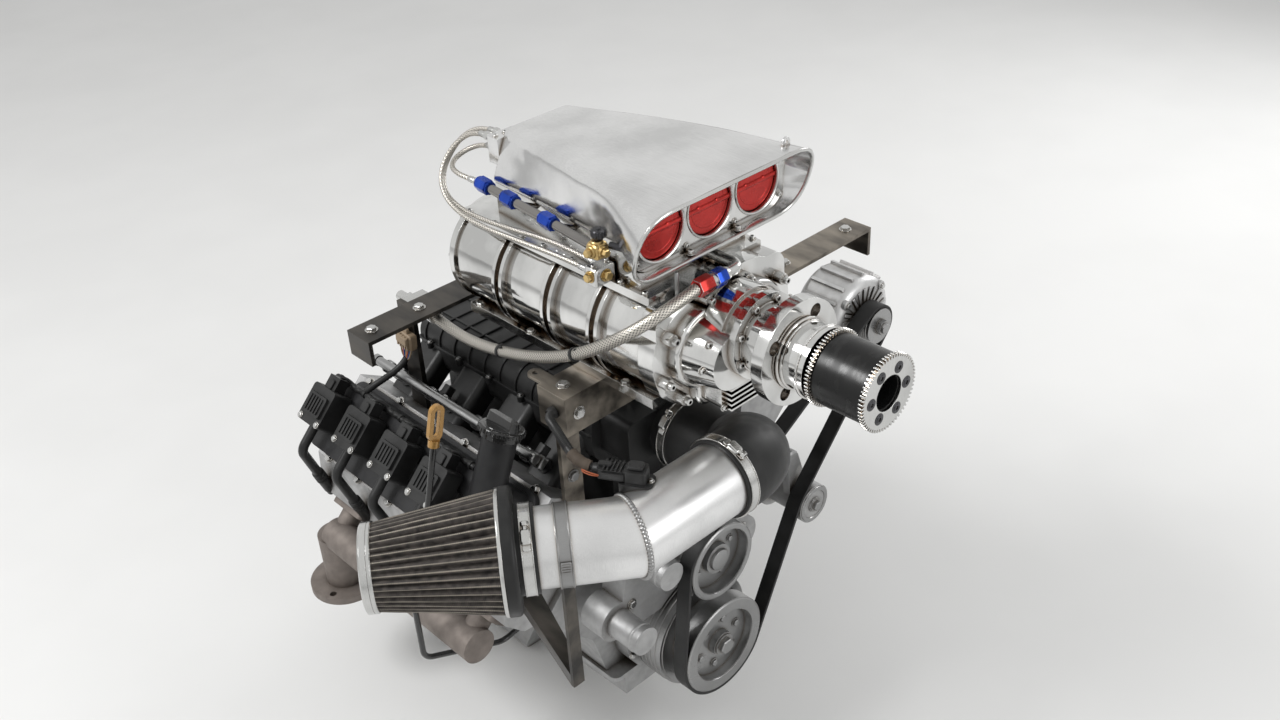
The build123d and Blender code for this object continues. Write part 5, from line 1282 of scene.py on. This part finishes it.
class ENGINE_OT_front_drive(bpy.types.Operator):
    """Bolt and groove the crank, pump, tension and alternator wheels"""

    bl_idname = "engine.front_drive"
    bl_label = "Front drive"

    def execute(self, context):
        self.finish_wheel("crank_hub", CRANK_PLACE, 0.626, (0.060, 0.080), (0.040, 6, 0.0060), "crank")
        self.finish_wheel("pump_hub", PUMP_PLACE, 0.622, (0.052, 0.062), (0.036, 4, 0.0050), "pump_wheel")
        self.ring_damper()
        self.fit_tensioner()
        self.fit_alternator()
        self.bolt_castings()
        return {"FINISHED"}

    def finish_wheel(self, name, place, web, rim, bolts, body):
        """Bolts on the wheel's web, a rolled lip on its rim, and the bolt or cap at its middle."""
        radius, count, size = bolts
        shape = bmesh.new()
        for x, z in around(count, radius, 0.25):
            hex_bolt(shape, place + Vector((x, -web, z)), FRONT, size)
        turn(shape, place + FRONT * 0.6402, FRONT,
             [(0, rim[0] + 0.0004), (0.0016, rim[0] + 0.001), (0.0016, rim[1] - 0.003), (0, rim[1] - 0.001)], 80)
        if body == "crank":
            hex_bolt(shape, place + FRONT * 0.638, FRONT, 0.0135, 0.010)
        else:
            turn(shape, place + FRONT * 0.632, FRONT,
                 [(0, 0.0180), (0.004, 0.0165), (0.006, 0.0120), (0.006, 0)], 48)
        finished_piece(name, shape, "machined_steel", body)

    def ring_damper(self):
        """The damper's raised rings, and the ring on its front face."""
        shape = bmesh.new()
        for forward in (0.552, 0.562, 0.572, 0.582):
            bead(shape, FRONT * forward, FRONT, (0.0022, 0.0915), (0.0014, 0.0932), 96)
        turn(shape, FRONT * 0.594, FRONT, [(0, 0.088), (0.0012, 0.0875), (0.0012, 0.078), (0, 0.0775)], 96)
        finished_piece("damper_rings", shape, "machined_steel", "crank")

    def fit_tensioner(self):
        """The tension wheel's cap, and its arm with the round housing behind."""
        shape = bmesh.new()
        turn(shape, TENSION_PLACE + FRONT * 0.640, FRONT,
             [(0, 0.030), (0.0015, 0.0295), (0.0015, 0.024), (-0.0005, 0.023), (-0.0005, 0.013), (0.003, 0.012),
              (0.003, 0)], 56)
        hex_bolt(shape, TENSION_PLACE + FRONT * 0.643, FRONT, 0.0085, 0.007)
        finished_piece("tensioner_cap", shape, "machined_steel")
        shape = bmesh.new()
        arm = []
        for x, z, radius, first in ((0, 0, 0.026, 110), (0.078, -0.012, 0.015, -70)):
            for angle in (math.radians(first + 20 * n) for n in range(10)):
                arm.append((x + radius * math.cos(angle), z + radius * math.sin(angle)))
        plate(shape, arm, TENSION_PLACE + FRONT * 0.5985, (-0.35, 0, 0.94), FRONT, 0.012, 0.003)
        turn(shape, TENSION_PLACE + FRONT * 0.512, FRONT, [(0, 0.040), (0.05, 0.038), (0.053, 0.034), (0.053, 0)], 48)
        finished_piece("tensioner_arm", shape, "cast_aluminium")

    def fit_alternator(self):
        """Cooling vents, lugs and screws on the alternator, its terminal, and its wheel's grooves."""
        lugs = around(4, 0.058, 0.5)
        shape = bmesh.new()
        for u, v in around(24, 1):
            plate(shape, [(0.020, -0.0016), (0.052, -0.0024), (0.052, 0.0024), (0.020, 0.0016)],
                  ALTERNATOR_PLACE + FRONT * 0.6098, (u, 0, v), FRONT, 0.0022, 0.0007)
        turn(shape, ALTERNATOR_PLACE + FRONT * 0.609, FRONT, [(0, 0.020), (0.0035, 0.0195), (0.0035, 0.0100)], 48)
        for x, z in lugs:
            turn(shape, ALTERNATOR_PLACE + Vector((x, -0.6065, z)), FRONT,
                 [(0, 0.0075), (0.005, 0.0070), (0.006, 0.0055), (0.006, 0)], 20)
        finished_piece("alternator_vents", shape, "cast_aluminium")
        shape = bmesh.new()
        for x, z in lugs:
            hex_bolt(shape, ALTERNATOR_PLACE + Vector((x, -0.6125, z)), FRONT, 0.0042)
        turn(shape, ALTERNATOR_PLACE + Vector((0.022, -0.5262, 0.030)), BACK,
             [(0, 0.009), (0.006, 0.009), (0.006, 0.004), (0.018, 0.004), (0.018, 0)], 20)
        finished_piece("alternator_screws", shape, "bright_steel")
        shape = bmesh.new()
        for step in range(6):
            bead(shape, ALTERNATOR_PLACE + FRONT * (0.6175 + step * 0.0038), FRONT,
                 (0.0012, 0.0275), (0.0004, 0.0288), 56)
        turn(shape, ALTERNATOR_PLACE + FRONT * 0.6500, FRONT,
             [(0, 0.0085), (0.004, 0.0080), (0.0045, 0.006), (0.0045, 0)], 20)
        finished_piece("alternator_grooves", shape, "machined_steel", "alternator_wheel")

    def bolt_castings(self):
        """Bolts of the timing cover, water pump, bracket and throttle body."""
        shape = bmesh.new()
        for angle in (math.radians(degrees) for degrees in (200, 340, 20, 160)):
            hex_bolt(shape, (0.0955 * math.cos(angle), -0.530, 0.0955 * math.sin(angle)), FRONT, 0.005)
        front_bolts(shape, 0.574, 0.0065,
                    ((-0.052, 0.198), (0.052, 0.198), (-0.122, 0.124), (0.112, 0.124), (0.086, 0.150)))
        front_bolts(shape, 0.502, 0.0075,
                    ((0.216, 0.176), (0.300, 0.270), (0.374, 0.330), (0.286, 0.392), (0.226, 0.374)))
        front_bolts(shape, 0.486, 0.005, ((-0.028, 0.393), (0.068, 0.393), (-0.028, 0.297), (0.068, 0.297)))
        finished_piece("casting_bolts", shape, "bright_steel")


# Places of the fuel rail's ends, the tee, the hoses' end block, the knob and the feed hose's nuts
RAIL_REAR, RAIL_FRONT = Vector((-0.100, -0.300, 0.696)), Vector((-0.119, -0.556, 0.692))
TEE_PLACE = Vector((-0.130, -0.567, 0.700))
END_BLOCK = Vector((-0.1095, -0.545, 0.640))
KNOB_X, KNOB_Y = -0.126, -0.567
FEED_Y, FEED_Z = -0.664, 0.651


class ENGINE_OT_fuel(bpy.types.Operator):
    """Fit unions, plugs and caps to the fuel block, rail, tee and feed hose"""

    bl_idname = "engine.fuel"
    bl_label = "Fuel fittings"

    def execute(self, context):
        self.fit_unions()
        self.fit_tee()
        self.fit_knob()
        self.fit_feed()
        return {"FINISHED"}

    def nut(self, shape, place, way, profile):
        """A hexagon form closed at both ends."""
        rings = hex_prism(shape, place, way, profile)
        shape.faces.new(rings[0])

    def union(self, shape, place, way):
        """A hose end: a hexagon nut, a collar and a short crimped socket."""
        way = way.normalized()
        self.nut(shape, place, way, [(0, 0.0050), (0.001, 0.0062), (0.0085, 0.0062), (0.0095, 0.0052)])
        turn(shape, place + way * 0.0095, way,
             [(0, 0.0040), (0.002, 0.0046), (0.004, 0.0040), (0.006, 0.0046), (0.008, 0.0040), (0.011, 0.0042),
              (0.012, 0.0036)], 24)

    def fit_unions(self):
        """Unions at both ends of each thin hose, the block's screws, and rings round the rail."""
        shape = bmesh.new()
        for route in FUEL_ROUTES:
            start = Vector(route[0])
            self.union(shape, start + FRONT * 0.002, Vector(route[1]) - start)
        for route in FUEL_ROUTES:
            end = Vector(route[-1])
            self.union(shape, end, Vector(route[-2]) - end)
        finished_piece("fuel_unions", shape, "bright_steel")
        shape = bmesh.new()
        for x in (-0.065, -0.036):
            cap_screw(shape, (x, -0.288, 0.722), BACK, 0.0030)
        for x in (-0.066, -0.050, -0.034):
            cap_screw(shape, (x, -0.299, 0.752), UP, 0.0028)
        finished_piece("fuel_block_screws", shape, "bright_steel")
        rail = RAIL_FRONT - RAIL_REAR
        way = rail.normalized()
        shape = bmesh.new()
        for share in (0.04, 0.27, 0.6):
            for step in (-0.0125, -0.0105, 0.0105, 0.0125):
                bead(shape, RAIL_REAR + rail * share + way * step, way, (0.0009, 0.0066), (0.0005, 0.0092), 28)
        finished_piece("rail_rings", shape, "blue_metal")

    def fit_tee(self):
        """The brass tee and the block that ends the hoses, with their plugs."""
        shape = bmesh.new()
        plate(shape, rounded(0.0185, 0.0185, 0.003), TEE_PLACE - UP * 0.009, (1, 0, 0), UP, 0.018, 0.0022)
        for way in ((1, 0, 0), (-1, 0, 0), BACK, FRONT, UP):
            turn(shape, TEE_PLACE, way, [(0.008, 0.0078), (0.0115, 0.0078), (0.0125, 0.0068), (0.0125, 0)], 28)
        tee = finished_piece("brass_tee", shape, "brass")
        shape = bmesh.new()
        plate(shape, rounded(0.0335, 0.0215, 0.003), END_BLOCK, (1, 0, 0), UP, 0.0235, 0.002)
        for x in (-0.011, 0.011):
            cap_screw(shape, END_BLOCK + Vector((x, 0, 0.0235)), UP, 0.0028)
        ends = finished_piece("hose_end_block", shape, "bright_steel")
        for piece in (tee, ends):
            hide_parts("fuel_tee")
        shape = bmesh.new()
        for place, way, radius in (((-0.1300, -0.5790, 0.700), FRONT, 0.0055),
                                   ((-0.1420, -0.5670, 0.700), (-1, 0, 0), 0.0055),
                                   ((-0.1095, -0.5560, 0.652), FRONT, 0.0065),
                                   ((-0.1265, -0.5450, 0.652), (-1, 0, 0), 0.0060)):
            hex_bolt(shape, place, way, radius, 0.007)
        finished_piece("tee_plugs", shape, "brass")

    def fit_knob(self):
        """The knurled knob on the tee, and the bent arm with its foot in front."""
        shape = bmesh.new()
        turn(shape, (KNOB_X, KNOB_Y, 0.712), UP,
             [(0, 0.0050), (0.004, 0.0050), (0.004, 0.0085), (0.005, 0.0092), (0.012, 0.0092), (0.0135, 0.0080),
              (0.0135, 0.003), (0.015, 0.0028), (0.015, 0)], 32)
        for x, y in around(16, 0.0091):
            turn(shape, (KNOB_X + x, KNOB_Y + y, 0.7165), UP, [(0, 0.0009), (0.008, 0.0009), (0.008, 0)], 6)
        arm = [Vector((-0.120, -0.579, 0.706)), Vector((-0.114, -0.596, 0.704)), Vector((-0.110, -0.610, 0.698)),
               Vector((-0.1095, -0.622, 0.690))]
        tube(shape, arm, [0.0045, 0.0045, 0.0042, 0.0040], 14)
        turn(shape, arm[-1], (0, -0.6, -0.8), [(-0.003, 0.0062), (0.004, 0.0062), (0.006, 0.0045), (0.006, 0)], 24)
        finished_piece("rail_knob", shape, "dark_rail")

    def fit_feed(self):
        """Coloured union on the feed hose's elbow, and rubber ties round the hose."""
        for name, x, length, finish in (("feed_red_nut", -0.060, 0.0238, "red_metal"),
                                        ("feed_blue_nut", -0.030, 0.0178, "blue_metal")):
            shape = bmesh.new()
            self.nut(shape, (x, FEED_Y, FEED_Z), (1, 0, 0),
                     [(-0.0004, 0.0112), (0.001, 0.0123), (length - 0.001, 0.0123), (length + 0.0004, 0.0112)])
            finished_piece(name, shape, finish)
        shape = bmesh.new()
        turn(shape, (-0.036, FEED_Y, FEED_Z), (1, 0, 0), [(0, 0.0098), (0.006, 0.0098)], 40)
        turn(shape, (-0.0116, FEED_Y, FEED_Z), (1, 0, 0), [(0, 0.0098), (0.004, 0.0092), (0.006, 0.0078)], 40)
        turn(shape, (0.019, -0.6022, FEED_Z), FRONT,
             [(0, 0.0125), (0.004, 0.0125), (0.006, 0.010), (0.006, 0.0075)], 40)
        finished_piece("feed_collars", shape, "bright_steel")
        lean = Vector((-0.3, -0.4, 0.85))
        shape = bmesh.new()
        path = smooth_path(FEED_ROUTE)
        for share in (0.37, 0.70):
            n = int(len(path) * share)
            way = (path[n + 1] - path[n]).normalized()
            bead(shape, path[n], way, (0.003, 0.0080), (0.0025, 0.0093), 32)
            plate(shape, rounded(0.0055, 0.0055, 0.0015), path[n] + lean.normalized() * 0.0105, way, lean,
                  0.003, 0.001)
        finished_piece("hose_ties", shape, "black_rubber")


class ENGINE_OT_fasteners(bpy.types.Operator):
    """Bolt the pan, heads, manifolds, cradle and block, and press in the core plugs"""

    bl_idname = "engine.fasteners"
    bl_label = "Fasteners"

    def execute(self, context):
        self.bolt_pan()
        self.press_plugs()
        self.bolt_heads()
        self.bolt_cradle()
        return {"FINISHED"}

    def bolt_pan(self):
        """Bolts round the oil pan, and its drain plug."""
        shape = bmesh.new()
        for side in (-1, 1):
            for n in range(8):
                hex_bolt(shape, (side * 0.114, -0.030 - n * 0.067, -0.073), -UP, 0.0055)
        front_bolts(shape, 0.519, 0.0045, ((-0.06, -0.0735), (0, -0.0735), (0.06, -0.0735)))
        turn(shape, (0.0, -0.0135, -0.150), (0, 1, -0.1), [(0, 0.014), (0.003, 0.014), (0.003, 0)], 28)
        hex_bolt(shape, (0.0, -0.0108, -0.1503), (0, 1, -0.1), 0.0095, 0.010)
        finished_piece("pan_bolts", shape, "bright_steel")

    def press_plugs(self):
        """Dished core plugs low on each side of the block."""
        shape = bmesh.new()
        for side in (-1, 1):
            for forward in (0.100, 0.400):
                turn(shape, (side * 0.1385, -forward, 0.010), (side, 0, 0),
                     [(-0.004, 0.021), (0.0005, 0.021), (0.001, 0.020), (-0.002, 0.018), (-0.002, 0)], 36)
        finished_piece("core_plugs", shape, "brass")

    def bolt_heads(self):
        """Bolts of the exhaust flanges, and of each head's front face."""
        shape = bmesh.new()
        for side in (-1, 1):
            out = Vector((side * BANK, 0, -BANK))
            for port in PORT_FORWARDS:
                for edge in (-0.031, 0.031):
                    hex_bolt(shape, bank_place(side, 0.278, 0.1115, port + edge), out, 0.0055)
            front_bolts(shape, 0.498, 0.0075, [(side * 0.146, z) for z in (0.240, 0.330, 0.420)])
        finished_piece("head_bolts", shape, "machined_steel")

    def bolt_cradle(self):
        """Bolts down through the cradle's bars, and through its front legs."""
        shape = bmesh.new()
        for x, y in ((-0.146, -0.495), (0.136, -0.495), (0.300, -0.493), (0.446, -0.493),
                     (-0.236, -0.180), (-0.152, -0.180), (0.152, -0.180), (0.236, -0.180)):
            hex_bolt(shape, (x, y, 0.478), UP, 0.0075)
        front_bolts(shape, 0.523, 0.0075, ((-0.146, 0.448), (0.138, 0.448)))
        finished_piece("cradle_bolts", shape, "bright_steel")


# Lamps: name, place, width and power
LAMPS = [
    ("key_softbox", (-2.4, 0.9, 3.2), 1.6, 95),
    ("front_softbox", (0.6, -3.4, 1.5), 1.8, 26),
    ("side_softbox", (3.2, -0.6, 1.6), 1.6, 30),
]
# The camera that matches the photo: its place, then azimuth, elevation and roll in degrees
CAMERA_PLACE = (-1.052, -1.655, 1.447)
CAMERA_TURNS = (-42.03, 32.52, -3.4)
SENSOR_WIDTH = 36
FLOOR_REACH = 9


class ENGINE_OT_stage(bpy.types.Operator):
    """Set the plain floor, the soft lamps, the sky and the camera"""

    bl_idname = "engine.stage"
    bl_label = "Stage"

    def execute(self, context):
        settings = context.scene.engine_stage
        scene = context.scene
        scene.view_settings.view_transform = "Standard"
        self.lay_floor(settings)
        self.set_sky(scene, settings)
        self.hang_lamps(scene)
        self.place_camera(scene, settings)
        return {"FINISHED"}

    def lay_floor(self, settings):
        """A wide painted floor just under the solids."""
        mesh = bpy.data.meshes.new("floor")
        low = CAD_LOW.z - 0.001
        corners = ((-1, -1), (1, -1), (1, 1), (-1, 1))
        mesh.from_pydata([(x * FLOOR_REACH, y * FLOOR_REACH, low) for x, y in corners], [], [(0, 1, 2, 3)])
        floor = bpy.data.objects.new("floor", mesh)
        bpy.context.scene.collection.objects.link(floor)
        tree, shader = plain_finish("floor_paint", settings.floor_colour, 0, 0.7)
        blotch(tree, shader, grain(tree, 3), tint(settings.floor_colour, 0.97), settings.floor_colour)
        mesh.materials.append(FINISHES["floor_paint"])

    def set_sky(self, scene, settings):
        """An even sky that the camera and the bright metal see in the floor's colour."""
        world = bpy.data.worlds.new("soft_sky")
        world.use_nodes = True
        scene.world = world
        tree = world.node_tree
        sky = tree.nodes["Background"]
        sky.inputs["Color"].default_value = (1, 1, 1, 1)
        sky.inputs["Strength"].default_value = settings.sky_strength
        backdrop = add_node(tree, "ShaderNodeBackground", Strength=1)
        backdrop.inputs["Color"].default_value = (*settings.floor_colour, 1)
        ray = add_node(tree, "ShaderNodeLightPath")
        seen = add_node(tree, "ShaderNodeMath", [(0, ray.outputs["Is Camera Ray"]),
                                                 (1, ray.outputs["Is Glossy Ray"])], operation="MAXIMUM")
        direct = add_node(tree, "ShaderNodeMath", [(0, seen.outputs["Value"]),
                                                   (1, ray.outputs["Is Transmission Ray"])], operation="MAXIMUM")
        mix = add_node(tree, "ShaderNodeMixShader", [(0, direct.outputs["Value"]),
                                                     (1, sky.outputs["Background"]),
                                                     (2, backdrop.outputs["Background"])])
        tree.links.new(mix.outputs["Shader"], tree.nodes["World Output"].inputs["Surface"])

    def hang_lamps(self, scene):
        """Round soft lamps that face the engine's middle."""
        centre = (CAD_LOW + CAD_HIGH) / 2
        for name, place, size, power in LAMPS:
            lamp = bpy.data.lights.new(name, "AREA")
            lamp.shape = "DISK"
            lamp.size = size
            lamp.energy = power
            holder = bpy.data.objects.new(name, lamp)
            holder.location = place
            holder.rotation_euler = (centre - Vector(place)).to_track_quat("-Z", "Y").to_euler()
            scene.collection.objects.link(holder)

    def place_camera(self, scene, settings):
        """The camera that matches the photo's view."""
        azimuth, elevation, roll = (math.radians(a) for a in CAMERA_TURNS)
        back = Vector((math.sin(azimuth) * math.cos(elevation), -math.cos(azimuth) * math.cos(elevation),
                       math.sin(elevation)))
        level = Vector((math.cos(azimuth), math.sin(azimuth), 0))
        up = back.cross(level)
        right = level * math.cos(roll) + up * math.sin(roll)
        camera = bpy.data.cameras.new("camera")
        camera.lens = settings.lens
        camera.sensor_width = SENSOR_WIDTH
        holder = bpy.data.objects.new("camera", camera)
        turned = Matrix((right, back.cross(right), back)).transposed()
        holder.matrix_world = Matrix.Translation(CAMERA_PLACE) @ turned.to_4x4()
        scene.collection.objects.link(holder)
        scene.camera = holder


OPERATORS = (ENGINE_OT_finishes, ENGINE_OT_hoses, ENGINE_OT_scoop, ENGINE_OT_discs, ENGINE_OT_blower,
             ENGINE_OT_drive_pulley, ENGINE_OT_filter, ENGINE_OT_pipework, ENGINE_OT_coils, ENGINE_OT_manifold,
             ENGINE_OT_injection, ENGINE_OT_front_drive, ENGINE_OT_fuel, ENGINE_OT_fasteners, ENGINE_OT_stage)
SETTINGS = (("engine_stage", EngineStageSettings), ("engine_hoses", EngineHoseSettings),
            ("engine_pulley", EnginePulleySettings), ("engine_filter", EngineFilterSettings))


class VIEW3D_PT_engine(bpy.types.Panel):
    """Sidebar panel with a button for each group of pieces"""

    bl_idname = "VIEW3D_PT_engine"
    bl_label = "Supercharged V8 Engine"
    bl_space_type = "VIEW_3D"
    bl_region_type = "UI"
    bl_category = "Engine"

    def draw(self, context):
        for operator in OPERATORS:
            self.layout.operator(operator.bl_idname)


def register():
    """Register every class and hang the settings on the scene."""
    for name, group in SETTINGS:
        bpy.utils.register_class(group)
        setattr(bpy.types.Scene, name, PointerProperty(type=group))
    for entry in (*OPERATORS, VIEW3D_PT_engine):
        bpy.utils.register_class(entry)


def unregister():
    """Take the classes and settings away again."""
    for entry in reversed((*OPERATORS, VIEW3D_PT_engine)):
        bpy.utils.unregister_class(entry)
    for name, group in reversed(SETTINGS):
        delattr(bpy.types.Scene, name)
        bpy.utils.unregister_class(group)


def main():
    """Make every piece in order."""
    register()
    for operator in OPERATORS:
        getattr(bpy.ops.engine, operator.bl_idname.split(".")[1])()


if __name__ == "__main__":
    main()
